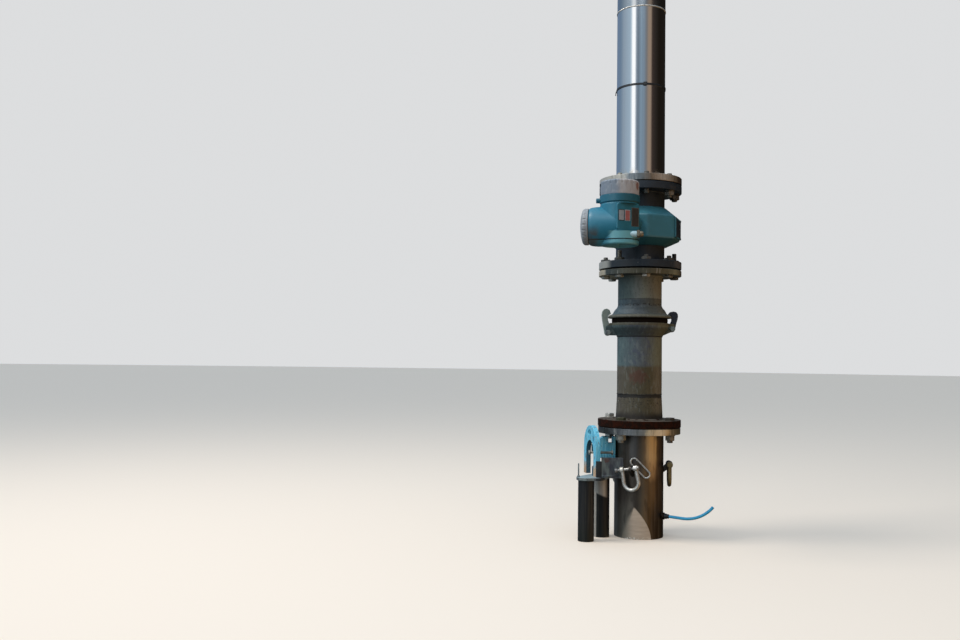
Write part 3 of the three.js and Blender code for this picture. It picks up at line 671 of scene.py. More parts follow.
def eased(corners, ease, loop=False, steps=4):
    """An outline whose corners are rounded: from a to b round a corner c the points are
    (1-t)(1-t) a + 2t(1-t) c + t t b, where a and b lie ease from c, or 0.45 of a shorter side."""
    corners = np.asarray(corners, float)

    def towards(neighbour):
        side = neighbour - corners
        length = np.linalg.norm(side, axis=1, keepdims=True)
        return corners + side / length * np.minimum(ease, 0.45 * length)

    first = towards(np.roll(corners, 1, axis=0))[:, None]
    last = towards(np.roll(corners, -1, axis=0))[:, None]
    t = np.linspace(0, 1, steps)[None, :, None]
    curve = (1 - t) ** 2 * first + 2 * t * (1 - t) * corners[:, None] + t ** 2 * last
    if loop:
        return curve.reshape(-1, corners.shape[1])
    inside = curve[1:-1].reshape(-1, corners.shape[1])
    return np.vstack([corners[:1], inside, corners[-1:]])


def turned(profile, sides, loop=False, swell=None):
    """A profile of radius r and height h carried round Z: x = r sin a, y = -r cos a, z = h. swell(a, r,
    h) is added to the radius."""
    angle = np.linspace(0, 2 * np.pi, sides, endpoint=False)[None, :]
    radius, height = [column[:, None] for column in np.asarray(profile, float).T]
    if swell is not None:
        radius = radius + swell(angle, radius, height)
    x, y = radius * np.sin(angle), -radius * np.cos(angle)
    return grid(np.stack([x, y, height + 0 * angle], -1), loop)


def hollow(corners, ease, sides):
    """A closed outline of reach and height, its corners eased, turned to a hollow round body."""
    return turned(eased(corners, ease, loop=True), sides, loop=True)


def ring(outer, inner, foot, top, ease, sides=96):
    """A round ring with eased edges."""
    return hollow([[inner, foot], [outer, foot], [outer, top], [inner, top]], ease, sides)


def disc(radius, foot, top, ease=0.8, sides=32):
    """A round solid with eased rims."""
    corners = [[radius * 0.2, foot], [radius, foot], [radius, top], [radius * 0.2, top]]
    return turned(eased(corners, ease), sides)


def placed(shell, shift=(0, 0, 0), azimuth=0.0):
    """The shell turned about Z by the azimuth and then shifted."""
    turn = math.radians(azimuth)
    cosine, sine = math.cos(turn), math.sin(turn)
    matrix = np.array([[cosine, sine, 0], [-sine, cosine, 0], [0, 0, 1]])
    return shell[0] @ matrix + np.array(shift, float), shell[1]


def pointed(shell, azimuth, shift):
    """A shell drawn along Z, laid down so that its Z points outwards at the azimuth and its Y points
    up."""
    lying = shell[0][:, [0, 2, 1]] * np.array([1, -1, 1])
    return placed((lying, shell[1]), shift, azimuth)


def outward(azimuth, reach, height=0.0):
    """The point at that reach from the axis in the azimuth's direction."""
    turn = math.radians(azimuth)
    return np.array([reach * math.sin(turn), -reach * math.cos(turn), height])


def swept(path, radius, sides, loop=False, reference=(0, 0, 1)):
    """A round bar along a path: each section is the point plus radius times (cos s side + sin s up),
    where side is square to the path and to the reference, and up is square to both."""
    path = np.asarray(path, float)
    if loop:
        along = np.roll(path, -1, axis=0) - np.roll(path, 1, axis=0)
    else:
        along = np.gradient(path, axis=0)
    along /= np.linalg.norm(along, axis=1, keepdims=True)
    side = np.cross(along, reference)
    side /= np.linalg.norm(side, axis=1, keepdims=True)
    up = np.cross(side, along)
    angle = np.linspace(0, 2 * np.pi, sides, endpoint=False)[None, :, None]
    radius = np.broadcast_to(np.asarray(radius, float), len(path))[:, None, None]
    points = path[:, None] + radius * (np.cos(angle) * side[:, None] + np.sin(angle) * up[:, None])
    return grid(points, loop)


def slab(width, depth, foot, top, corner, ease):
    """A plate with round corners: its outline is inset by the ease at its two faces."""
    steps = 5
    half = np.array([width / 2 - corner, depth / 2 - corner])
    angle = np.linspace(0, np.pi / 2, steps)
    quarter = np.stack([np.cos(angle), np.sin(angle)], -1)
    signs = np.array([[1, 1], [-1, 1], [-1, -1], [1, -1]])
    arcs = [half * sign + corner * quarter[::sign[0] * sign[1]] * sign for sign in signs]
    outline = np.concatenate(arcs)
    centre_line = np.concatenate([np.broadcast_to(half * sign, (steps, 2)) for sign in signs])
    inset = outline + (centre_line - outline) * min(1.0, ease / corner)
    rows = [(inset, foot), (outline, foot + ease), (outline, top - ease), (inset, top)]
    return grid(np.stack([np.column_stack([line, np.full(len(line), z)]) for line, z in rows]))


def hexagon(flats, foot, top, chamfer=1.6, sides=48):
    """A six-sided head: the radius is flats / 2 over the cosine of the angle from the nearest flat's
    middle, and no more than the chamfer's cone leaves."""
    angle = np.linspace(0, 2 * np.pi, sides, endpoint=False)
    flat = flats / 2 / np.cos((angle % (np.pi / 3)) - np.pi / 6)
    limit = flats / math.sqrt(3)
    small = limit - chamfer * 1.7
    rows = []
    for height, most in ((foot, small), (foot + chamfer, limit), (top - chamfer, limit), (top, small)):
        radius = np.minimum(flat, most)
        rows.append(np.stack([radius * np.sin(angle), -radius * np.cos(angle), 0 * angle + height], -1))
    return grid(np.stack(rows))


def threaded(radius, foot, top, pitch=2.5, sides=16):
    """A stud: r = radius - depth (1 + cos(2 pi h / pitch)) / 2, with a tapered end at the top and the
    foot."""
    height = np.arange(foot, top + pitch / 4, pitch / 4)
    height = np.append(height[height < top], top)
    depth = 0.3 * pitch
    wave = radius - depth * (1 + np.cos(2 * np.pi * height / pitch)) / 2
    end = np.minimum(height - foot, top - height)
    return turned(np.column_stack([np.minimum(wave, radius - 1.5 + end), height]), sides)


WELD_SIDES = 400


def weld(radius, height, size, ripples):
    """A bead round the column: a small circle about (radius, height) whose size swells with each
    ripple."""
    angle = np.linspace(0, 2 * np.pi, WELD_SIDES, endpoint=False)[None, :]
    section = np.linspace(0, 2 * np.pi, 10, endpoint=False)[:, None]
    bead = size * (1 + 0.14 * np.cos(ripples * angle + 1.5 * np.sin(3 * angle)))
    r, h = radius + bead * np.cos(section), height + bead * np.sin(section)
    return grid(np.stack([r * np.sin(angle), -r * np.cos(angle), h], -1), loop=True)


# Pieces

# The wall drawn for a pipe, the play between nested pieces, and the circle that all bolts stand on
WALL = 4
FIT = 0.3
BOLT_CIRCLE = 120.0
ROUND_SIDES = 96
SOFTENED_SHARP = 28.0


def piece(name, shells, finish, body="column", stands_for=(), sharp=32.0, ease=0.0):
    """Joins shells about the column's axis into a named piece that rides a body and may stand for
    nodes."""
    points, faces, start = [], [], 0
    for corners, blocks in shells:
        points.append(corners)
        for block in blocks:
            faces.extend((np.asarray(block) + start).tolist())
        start += len(corners)
    mesh = bpy.data.meshes.new(name)
    mesh.from_pydata(np.vstack(points) * MM + AXIS, [], faces)
    return finished(name, mesh, finish, body, stands_for, sharp, ease)


def finished(name, mesh, finish, body, stands_for, sharp, ease):
    """The finish may be given by its slot's name."""
    finish = FINISHES.get(finish, finish)
    made = bmesh.new()
    made.from_mesh(mesh)
    bmesh.ops.recalc_face_normals(made, faces=made.faces)
    made.to_mesh(mesh)
    made.free()
    mesh.polygons.foreach_set("use_smooth", np.ones(len(mesh.polygons), bool))
    mesh.set_sharp_from_angle(angle=math.radians(sharp))
    mesh.materials.append(finish.material)
    thing = bpy.data.objects.new(name, mesh)
    bpy.context.scene.collection.objects.link(thing)
    if ease:
        bevel = thing.modifiers.new("eased_edges", "BEVEL")
        bevel.width = ease * MM
        bevel.segments = 2
        bevel.limit_method = "ANGLE"
        bevel.angle_limit = math.radians(sharp)
    weighted = thing.modifiers.new("flat_faces", "WEIGHTED_NORMAL")
    weighted.keep_sharp = True
    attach(thing, body)
    if stands_for:
        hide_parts(*stands_for)
    return thing


def round_piece(name, node, bore, finish, ease=1.8, sides=128):
    """A ring as wide and as tall as the node that it stands for."""
    piece(name, [ring(reach_of(node), bore, *heights(node), ease, sides)], finish, stands_for=[node])


def softened(node, finish, body="column", ease=1.0):
    """A node's own solid, merged, with its flat faces made whole and its edges eased."""
    made = bmesh.new()
    made.from_mesh(frame["nodes"][node].data)
    bmesh.ops.remove_doubles(made, verts=made.verts, dist=0.02 * MM)
    bmesh.ops.dissolve_limit(made, angle_limit=math.radians(0.8), verts=made.verts, edges=made.edges)
    made.verts.index_update()
    corners = [vertex.co[:] for vertex in made.verts]
    faces = [[vertex.index for vertex in face.verts] for face in made.faces]
    made.free()
    mesh = bpy.data.meshes.new(node + "_fine")
    mesh.from_pydata(corners, [], faces)
    return finished(node + "_fine", mesh, finish, body, [node], SOFTENED_SHARP, ease)


# Plastic tube, the one cord

TAP = {"azimuth": 62.0, "height": 74.0, "end": 108.3}
TUBE = {"radius": 5.0, "bore": 3.2, "length": 161.0}


def tube_route():
    """A smooth curve through the points of the route: each stretch between two of them is the cubic
    whose slopes are half the chord of their neighbours."""
    azimuth, end, height = TAP["azimuth"], TAP["end"], TAP["height"]
    points = [outward(azimuth, end + step, height - 0.05 * step) for step in (0, 12, 26)]
    points += [[143, -73, 71], [163, -78, 72], [182.5, -80, 76], [200.5, -81, 83]]
    points += [[215.5, -82, 92], [228, -83, 102], [238, -84, 113]]
    points = np.array(points, float)
    slopes = np.gradient(points, axis=0)
    t = np.linspace(0, 1, 12, endpoint=False)[None, :, None]
    a, b, u, v = points[:-1, None], points[1:, None], slopes[:-1, None], slopes[1:, None]
    curve = a * (2 * t ** 3 - 3 * t ** 2 + 1) + b * (3 * t ** 2 - 2 * t ** 3)
    curve = curve + u * (t ** 3 - 2 * t ** 2 + t) + v * (t ** 3 - t ** 2)
    return np.vstack([curve.reshape(-1, 3), points[-1:]])


def add_tube():
    """A round bar along the route, scaled to its length. Its far end is open: the section turns in at
    the end and runs back inside."""
    route = tube_route()
    length = np.linalg.norm(np.diff(route, axis=0), axis=1).sum()
    route = route[0] + (route - route[0]) * TUBE["length"] / length
    outer = swept(route, TUBE["radius"], 24)[0].reshape(-1, 24, 3)
    inner = swept(route[-12:], TUBE["bore"], 24)[0].reshape(-1, 24, 3)
    shell = grid(np.concatenate([outer, inner[::-1]]))
    tube = piece("plastic_tube", [shell], "blue_nylon", stands_for=["blue_air_tube"])
    start = route[0] * MM + AXIS
    route * MM + AXIS


set_camera()
add_tube()


# Lower pipe and the deck joint

def add_lower_pipe():
    """The pipe below the deck, its flange with its weld, the seal and the plate above."""
    radius = reach_of("lower_pipe")
    round_piece("lower_pipe_wall", "lower_pipe", radius - WALL, "wet_stainless", 0.8, ROUND_SIDES)
    round_piece("pipe_flange", "lower_pipe_flange", radius + FIT, DECK_FLANGE, 1.6)
    foot = heights("lower_pipe_flange")[0]
    piece("pipe_flange_weld", [weld(radius + 1, foot - 1, 4.0, 90)], WELD)
    round_piece("deck_seal", "deck_gasket", radius - 3, "black_rubber", 0.6, ROUND_SIDES)
    round_piece("adaptor_plate", "adaptor_flange", 81.3, "rusty_flange_paint", 2.2)


# Quick coupling

COUPLING_BORE = 71
COUPLING_SIDES = 128
SOCKET_WELD = 489


def add_coupling():
    """The coupling's lower half with the cheeks of its latches, its seal and its upper half."""
    bore = COUPLING_BORE
    foot, top = heights("coupling_socket_pipe")
    outline = [
        [bore, foot], [81, foot], [81, foot + 25.5], [76.5, SOCKET_WELD], [77, SOCKET_WELD + 1],
        [77, 687], [79, 687.4], [79.6, 688.7], [79, 690], [80.5, 692.5], [85.5, 700], [91, 708],
        [97, 717], [100, 728], [100, top], [bore, top],
    ]
    socket = hollow(outline, 1.2, COUPLING_SIDES)
    cheeks = [latch_cheek(which, side) for which in LATCHES for side in (-1, 1)]
    piece("socket_pipe", [socket, *cheeks], "column_paint", stands_for=["coupling_socket_pipe"])
    piece("adaptor_weld", [weld(81.5, foot + 26, 3.4, 95)], "rusty_flange_paint")
    piece("socket_weld", [weld(75.2, SOCKET_WELD, 2.6, 120)], "column_paint")
    foot, top = heights("coupling_seal")
    inner, outer = bore + FIT, 95.5
    seal = [[inner, foot], [outer, foot], [97, (foot + top) / 2], [outer, top], [inner, top]]
    piece("ring_seal", [hollow(seal, 1.5, ROUND_SIDES)], SEAL, stands_for=["coupling_seal"])
    foot, top = heights("coupling_spigot_pipe")
    bell = [
        [bore, foot], [109, foot], [110, foot + 5], [107, foot + 9], [97, foot + 13], [93, foot + 16],
        [90, foot + 22], [86, foot + 28.5], [80, foot + 35], [77.2, foot + 39.5], [75.6, foot + 45],
        [75.6, top], [bore, top],
    ]
    bell = hollow(bell, 1.4, COUPLING_SIDES)
    piece("spigot_pipe", [bell], "column_paint", stands_for=["coupling_spigot_pipe"])


def extruded(outline, thickness, shift, ease):
    """An upright plate in the plane of the axis: its outline of reach and height, inset by the ease at
    its two faces, stands square to X and faces -Y."""
    outline = np.asarray(outline, float)
    side = np.roll(outline, -1, axis=0) - np.roll(outline, 1, axis=0)
    normal = np.column_stack([side[:, 1], -side[:, 0]])
    normal /= np.linalg.norm(normal, axis=1, keepdims=True)
    reach, height = outline.T
    area = np.sum(reach * np.roll(height, -1) - height * np.roll(reach, -1))
    inset = outline - math.copysign(ease, area) * normal
    half = thickness / 2
    rows = [(inset, -half), (outline, ease - half), (outline, half - ease), (inset, half)]
    faces = [np.column_stack([0 * line[:, 0] + x, -line[:, 0], line[:, 1]]) for line, x in rows]
    return grid(np.stack(faces) + np.array([shift, 0, 0]))


def arc(centre, radius, start, end):
    """Nine points of a circle from one angle to another, in degrees."""
    angle = np.radians(np.linspace(start, end, 9))
    return (np.array(centre) + radius * np.column_stack([np.cos(angle), np.sin(angle)])).tolist()


LATCH = {"reach": 112.0, "thickness": 14.0, "cheek": 6.0, "cheek_foot": 692.0}
LATCHES = {"left": (-90, 701.0), "right": (90, 716.0)}


def latch_cheek(which, side):
    """A plate beside a latch that carries its pin."""
    azimuth, height = LATCHES[which]
    reach, top = LATCH["reach"], heights("coupling_socket_pipe")[1]
    outline = [[78, LATCH["cheek_foot"]], [reach, height - 9], *arc((reach, height), 9, -80, 0)]
    outline += [[reach + 7, min(height + 22, top - 2)], [104, top], [78, top]]
    shift = side * (LATCH["thickness"] / 2 + 1 + LATCH["cheek"] / 2)
    return placed(extruded(outline, LATCH["cheek"], shift, 0.8), azimuth=azimuth)


def add_latches():
    """Two latches that turn, each with its pin, a bolt with a head at both ends."""
    for side, (azimuth, height) in LATCHES.items():
        paint = PALE_LATCH if side == "left" else DARK_LATCH
        softened(f"latch_{side}", paint, body=f"{side}_latch", ease=1.4)
        pin = [hexagon(17, -20.5, -14.2, 1.2), disc(6, -15, 15), hexagon(17, 14.2, 20.5, 1.2)]
        at = (0, -LATCH["reach"], height)
        shells = [placed(along_x(shell, at), azimuth=azimuth) for shell in pin]
        piece(f"latch_bolt_{side}", shells, "bracket_steel", stands_for=[f"latch_{side}_pin"])


# Flow meter

HOUSING_NECK = 87
OCTAGON_POWER = 70.0
SERVICE_HEIGHT = 1061.5


def housing_face():
    """The reach of a flat of the octagonal housing."""
    return reach_of("coil_housing") * math.cos(math.pi / 8)


def rounded_octagon(angle):
    """r = the reach of a flat over the power mean of cos(a - a_i), where a_i are the eight flats."""
    flats = np.radians(22.5 + 45 * np.arange(8))
    cosines = np.maximum(np.cos(angle[..., None] - flats), 0) ** OCTAGON_POWER
    return housing_face() / cosines.sum(-1) ** (1 / OCTAGON_POWER)


def coil_housing():
    """Rows of a shape that goes from a circle at the neck to a rounded octagon at the waist:
    r = (1 - w) neck + w octagon."""
    foot, top = heights("coil_housing")
    corners = [[0, foot], [0.06, foot], [1, foot + 22], [1, top - 34], [0.06, top], [0, top]]
    rows = eased(np.array(corners) * [100, 1], 7, steps=6) / [100, 1]
    angle = np.linspace(0, 2 * np.pi, 160, endpoint=False)[None, :]
    share, height = rows[:, :1], rows[:, 1:]
    radius = (1 - share) * HOUSING_NECK + share * rounded_octagon(angle)
    return grid(np.stack([radius * np.sin(angle), -radius * np.cos(angle), height + 0 * angle], -1))


def service_cover(azimuth):
    """A frame, a recessed plate and four screws on a flat of the coil housing."""
    face = housing_face()
    frame_plate = slab(90, 71, face + FIT, face + 4.8, 6, 1.4)
    lid = slab(77, 59, face + 4.0, face + 5.6, 4, 0.6)
    screw = hexagon(7, face + 4.4, face + 6.0, 0.5)
    screws = [placed(screw, (x, y, 0)) for x in (-40, 40) for y in (-31, 31)]
    at = (0, 0, SERVICE_HEIGHT)
    groups = ([frame_plate], [lid], screws)
    return [[pointed(shell, azimuth, at) for shell in group] for group in groups]


def add_meter():
    """The flow meter: flanges, gaskets and tube, the housing of its coils and two covers."""
    navy = "meter_navy_paint"
    round_piece("counter_flange", "meter_counter_flange", 75.9, COUNTER_FLANGE)
    for side in ("lower", "upper"):
        round_piece(f"{side}_meter_flange", f"meter_{side}_flange", 84.3, navy)
    for node in ("meter_lower_gasket", "meter_upper_gasket"):
        round_piece(node + "_ring", node, 80, "black_rubber", 0.5, ROUND_SIDES)
    round_piece("measuring_tube", "meter_tube", 77, navy, 0.5, ROUND_SIDES)
    counter = heights("meter_counter_flange")[0]
    piece("counter_weld", [weld(76.4, counter - 0.8, 3.2, 90)], "column_paint")
    for node in ("meter_lower_flange", "meter_upper_flange"):
        foot, top = heights(node)
        height = top + 0.6 if node == "meter_lower_flange" else foot - 0.6
        piece(node + "_fillet", [weld(85, height, 4.0, 0)], navy)
    piece("coil_casting", [coil_housing()], "teal_enamel", stands_for=["coil_housing"], sharp=50)
    for side, azimuth in (("right", 67.5), ("left", -112.5)):
        frame_plate, lid, screws = service_cover(azimuth)
        piece(f"cover_frame_{side}", frame_plate, "teal_enamel", stands_for=[f"service_cover_{side}"])
        piece(f"cover_lid_{side}", lid, navy)
        piece(f"cover_screws_{side}", screws, DARK_ZINC)


# Converter head

HEAD = {"azimuth": -23.2, "reach": 282.0, "radius": 63.0, "side_azimuth": -101.5, "side_height": 1037.0}
HEAD_PLACE = outward(HEAD["azimuth"], HEAD["reach"])
PANEL = {"azimuth": 21.0, "reach": 55.0, "width": 82.0, "foot": 1018.0, "top": 1105.0}
NECK_AZIMUTH = -22.5
NOTCHES = {"count": 20, "depth": 1.5}
COVER_SIDES = 240
GLAND = {"azimuth": 81.0, "offset": 43.0, "height": 1006.5, "end": 55.0}


def notched(foot, top):
    """Notches of a screwed cover: between two heights the radius falls in each of its grooves."""

    def swell(angle, radius, height):
        wave = np.clip(3 * np.cos(NOTCHES["count"] * angle) - 1.6, 0, 1)
        inside = (height > foot) & (height < top)
        return -NOTCHES["depth"] * wave * inside

    return swell


def cut_flat(azimuth, reach, foot, top):
    """A flat on a round body: between two heights the radius is no more than reach over the cosine of
    the angle from the flat's middle."""

    def swell(angle, radius, height):
        cosine = np.maximum(np.cos(angle - math.radians(azimuth)), 0.05)
        inside = (height > foot) & (height < top)
        return np.minimum(reach / cosine - radius, 0) * inside

    return swell


def at_head(shell, azimuth, height):
    """A shell drawn along Z, pointed outwards from the head's middle at a height."""
    return pointed(shell, azimuth, HEAD_PLACE + np.array([0, 0, height]))


def add_converter_housing():
    """The upright round casting with its flat panel, the one that lies across it, and a lug."""
    foot, top, wide = PANEL["foot"], PANEL["top"], HEAD["radius"]
    outline = [
        [20, 990], [wide, 990], [wide, foot], [wide, foot + 1.2], [wide, top - 1], [wide, top + 0.2],
        [61, 1108], [61, 1110], [64.5, 1112], [64.5, 1135], [20, 1135],
    ]
    flat = cut_flat(PANEL["azimuth"], PANEL["reach"] - FIT, foot + 0.1, top)
    body = placed(turned(eased(outline, 1.2), 192, swell=flat), HEAD_PLACE)
    side = [[20, 0], [64.5, 0], [64.5, 68], [62.5, 88], [58.5, 98], [20, 98]]
    side = at_head(turned(eased(side, 7, steps=6), 96), HEAD["side_azimuth"], HEAD["side_height"])
    panel = slab(PANEL["width"], top - foot, 10, PANEL["reach"], 8, 2.5)
    panel = at_head(panel, PANEL["azimuth"], (top + foot) / 2)
    lug = at_head(disc(8, 50, 76, 1.5, 24), -92, 1120)
    shells = [body, side, panel, lug]
    piece("converter_casting", shells, "teal_enamel", stands_for=["converter_housing"], sharp=40)


def add_converter_covers():
    """The screwed covers at the top and at the side's end, both notched, and the plain one below."""
    foot, top = heights("converter_top_cover")
    cap = [
        [20, foot], [61, foot], [62, foot + 1], [62, foot + 12], [62, top - 14], [62, top - 4],
        [58, top], [20, top],
    ]
    cap = turned(eased(cap, 1.5), COVER_SIDES, swell=notched(top - 15, top + 1))
    cap = placed(cap, HEAD_PLACE)
    piece("top_cover", [cap], "grey_cover_paint", stands_for=["converter_top_cover"], sharp=45)
    base = [[20, 982], [51, 982], [52, 974], [59, 974], [62, 978], [62, 989], [61, 989.7], [20, 989.7]]
    base = placed(turned(eased(base, 1.8), 96), HEAD_PLACE)
    piece("base_cover", [base], "teal_enamel", stands_for=["converter_base_cover"])
    end = [
        [10, 98.3], [58.5, 98.3], [59.5, 100], [59.5, 107], [59.5, 112], [54.5, 118], [37, 123],
        [18, 125.5], [6, 126],
    ]
    end = turned(eased(end, 3.5), COVER_SIDES, swell=notched(105, 119))
    end = at_head(end, HEAD["side_azimuth"], HEAD["side_height"])
    piece("end_cover", [end], "grey_cover_paint", stands_for=["converter_end_cover"], sharp=45)


def add_neck_and_gland():
    """The neck between the meter and its head, and the cable gland under the head."""
    face, inner = housing_face() + FIT, HEAD["reach"] - 40
    neck = turned(eased([[10, face], [36, face], [36, inner], [10, inner]], 1), 64)
    neck = pointed(neck, NECK_AZIMUTH, (0, 0, 1068))
    piece("neck", [neck], "teal_enamel", stands_for=["converter_neck"])
    azimuth, end = GLAND["azimuth"], GLAND["end"]
    dome = [[3, end + 9], [10, end + 9], [10, end + 13], [8.5, end + 18], [6, end + 21], [3, end + 21]]
    dome = turned(eased(dome, 1.5), 40)
    shells = [disc(10, 20, end, 1.2, 40), hexagon(22.5, end + 0.2, end + 9, 1.2), dome]
    aside = HEAD_PLACE + outward(azimuth - 90, GLAND["offset"], GLAND["height"])
    boss, nut, dome = [pointed(shell, azimuth, aside) for shell in shells]
    piece("gland_boss", [boss], BLUE_GREY_BOSS)
    piece("gland_nut", [nut, dome], "gland_brass", stands_for=["cable_gland"])


# Plates on the panel: place across, height, width, height of the plate, border and finish
PLATES = {
    "plate_left": (-24.8, 1065.7, 21.5, 35.5, DARK_PLATE, PALE_PLATE),
    "plate_middle": (-2.6, 1065.7, 19.8, 35.5, PALE_PLATE, RED_PLATE),
    "plate_right": (25.1, 1061.6, 26.4, 60.2, DARK_FRAME, DARK_PLATE),
}


def add_head_details():
    """Cover screws down the left side and three bare plates on the flat panel."""
    screws = []
    for height, reach in ((1172, 61), (1142, 61), (1124, 64), (1096, 62)):
        screws.append(at_head(hexagon(8, reach - 2, reach + 4.0, 0.6, 24), -96, height))
    piece("head_screws", screws, "black_plastic")
    face, azimuth = PANEL["reach"], PANEL["azimuth"]
    for name, (across, height, width, tall, border, finish) in PLATES.items():
        shift = HEAD_PLACE + outward(azimuth + 90, across, height)
        plate = slab(width, tall, face - 0.2, face + 0.6, 1.5, 0.3)
        piece(name + "_frame", [pointed(plate, azimuth, shift)], border)
        plate = slab(width - 4, tall - 4, face + 0.3, face + 0.9, 1.5, 0.2)
        piece(name, [pointed(plate, azimuth, shift)], finish)


# Upper pipe and the delivery end

HOLES = {"count": 8, "radius": 11.0, "steps": 12}


def drilled_ring(outer, bore, foot, top):
    """A flange in equal sectors, each a loop of rows: the sector's outline below, the same above,
    halfway to the hole, the hole's edge above, the hole's edge below and halfway back. A point of the
    hole's edge lies from the hole's middle in the direction of its outline point."""
    count, hole, steps = HOLES["count"], HOLES["radius"], HOLES["steps"]
    half = math.pi / count
    swing = np.linspace(-half, half, steps, endpoint=False)
    across = np.linspace(outer, bore, steps, endpoint=False)
    back = np.linspace(bore, outer, steps, endpoint=False)
    reach = np.concatenate([np.full(steps, outer), across, np.full(steps, bore), back])
    angle = np.concatenate([swing, np.full(steps, half), -swing, np.full(steps, -half)])
    flat = np.column_stack([reach * np.sin(angle), -reach * np.cos(angle)])
    middle = np.array([0, -BOLT_CIRCLE])
    away = flat - middle
    edge = middle + hole * away / np.linalg.norm(away, axis=1, keepdims=True)
    half_way = (flat + edge) / 2
    rows = [(flat, foot), (flat, top), (half_way, top), (edge, top), (edge, foot), (half_way, foot)]
    points = np.stack([np.column_stack([line, np.full(len(line), z)]) for line, z in rows])
    corners, (quads,) = grid(points, loop=True)
    quads = quads.reshape(6, 4 * steps, 4)
    walls = np.r_[0:steps, 2 * steps:3 * steps]
    kept = np.concatenate([quads[0, walls], quads[1:].reshape(-1, 4)])
    return [placed((corners, [kept]), azimuth=360 / count * i) for i in range(count)]


def add_upper_pipe():
    """The pipe above the meter, its flanges and welds, and the open end."""
    radius = reach_of("upper_pipe")
    round_piece("riser_flange", "upper_pipe_flange", radius + FIT, "stained_flange")
    top = heights("upper_pipe_flange")[1]
    piece("riser_flange_weld", [weld(radius + 0.8, top + 0.6, 4.2, 80)], WELD)
    round_piece("riser_pipe", "upper_pipe", radius - WALL, "stainless", 0.5)
    top = heights("upper_pipe")[1]
    piece("riser_weld", [weld(radius - 1.6, top, 3.2, 120)], WELD)
    round_piece("delivery_wall", "delivery_pipe", radius - WALL, "stainless", 0.5)
    foot, top = heights("delivery_flange")
    shells = drilled_ring(reach_of("delivery_flange"), radius + FIT, foot, top)
    merge(piece("open_flange", shells, "stained_flange", stands_for=["delivery_flange"], ease=1.0))
    piece("open_flange_weld", [weld(radius + 0.8, foot - 0.6, 4.2, 80)], WELD)
    add_cable_tie(radius)


def merge(thing):
    """Merges the points that neighbouring sectors share and points the faces outwards."""
    made = bmesh.new()
    made.from_mesh(thing.data)
    bmesh.ops.remove_doubles(made, verts=made.verts, dist=0.005 * MM)
    bmesh.ops.recalc_face_normals(made, faces=made.faces)
    made.to_mesh(thing.data)
    made.free()
    thing.data.set_sharp_from_angle(angle=math.radians(30))


def add_cable_tie(radius):
    """A thin band with its buckle, and a tail that leaves the band at the left and droops."""
    foot, top = heights("cable_tie")
    middle = (foot + top) / 2
    band = ring(radius + 1.9, radius + FIT, middle - 3.6, middle + 3.6, 0.4)
    buckle = placed(slab(13, 6, middle - 5.8, middle + 5.8, 1.6, 1.0), (0, -radius - 3.9, 0), -19)
    along = np.linspace(0, 1, 10)
    reach = radius + 2.2 + 2.4 * along
    height = middle - 1 - 17 * along ** 1.3
    turn = np.radians(-99) + 0.1 * along
    path = np.column_stack([reach * np.sin(turn), -reach * np.cos(turn), height])
    tail = swept(path, 1.6, 8)
    piece("tie_band", [band, buckle, tail], "black_plastic", stands_for=["cable_tie"])


# Guides, claw, lugs and shackles

GUIDE_RADIUS = 27


def add_guides():
    """Two guide tubes, the plate on them and the claw."""
    for where in ("front", "back"):
        low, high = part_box(f"guide_tube_{where}")
        centre = (np.array([(low.x + high.x) / 2, (low.y + high.y) / 2, 0]) - AXIS) / MM
        tube = placed(ring(GUIDE_RADIUS, GUIDE_RADIUS - 3, 0, high.z / MM, 0.6, 72), centre)
        piece(f"{where}_guide", [tube], "guide_tube_steel", stands_for=[f"guide_tube_{where}"])
    softened("tube_bracket", "bracket_steel")
    softened("claw_arch", "claw_blue_paint", ease=1.8)
    softened("claw_arm", "claw_blue_paint", ease=1.8)
    add_claw_details()


def along_x(shell, at):
    """A shell drawn along Z, laid along X at a point."""
    return placed((shell[0][:, [2, 1, 0]], shell[1]), at)


CLAW_BOLT_PLACE = (-158, -54, 289)
STUD_PLACE = (-221, -110, 0)


def add_claw_details():
    """The long bolt through the claw with its nuts, and the thin stud with its own."""
    bolt = [threaded(4.5, -20, 60), hexagon(15, -24, -18), hexagon(15, 54, 61)]
    piece("claw_bolt", [along_x(shell, CLAW_BOLT_PLACE) for shell in bolt], ZINC)
    stud = [threaded(2.6, 205, 258, 1.5, 12), hexagon(9, 212, 217, 0.8)]
    piece("thin_stud", [placed(shell, STUD_PLACE) for shell in stud], "bracket_steel")


LUGS = {
    "front": {"azimuth": -28.0, "height": 238.0, "tilt": -10.0},
    "side": {"azimuth": 83.0, "height": 248.0, "tilt": 0.0},
    "back": {"azimuth": -150.0, "height": 238.0, "tilt": 0.0},
}
PIN_REACH = 104.0
SHACKLE = {"wire": 6.5, "span": 24.5, "bend": 26.0, "drop": 45.0}


def tipped(shell, tilt):
    """The shell turned about Y: x' = x cos t + z sin t and z' = z cos t - x sin t."""
    turn = math.radians(tilt)
    cosine, sine = math.cos(turn), math.sin(turn)
    return shell[0] @ np.array([[cosine, 0, -sine], [0, 1, 0], [sine, 0, cosine]]), shell[1]


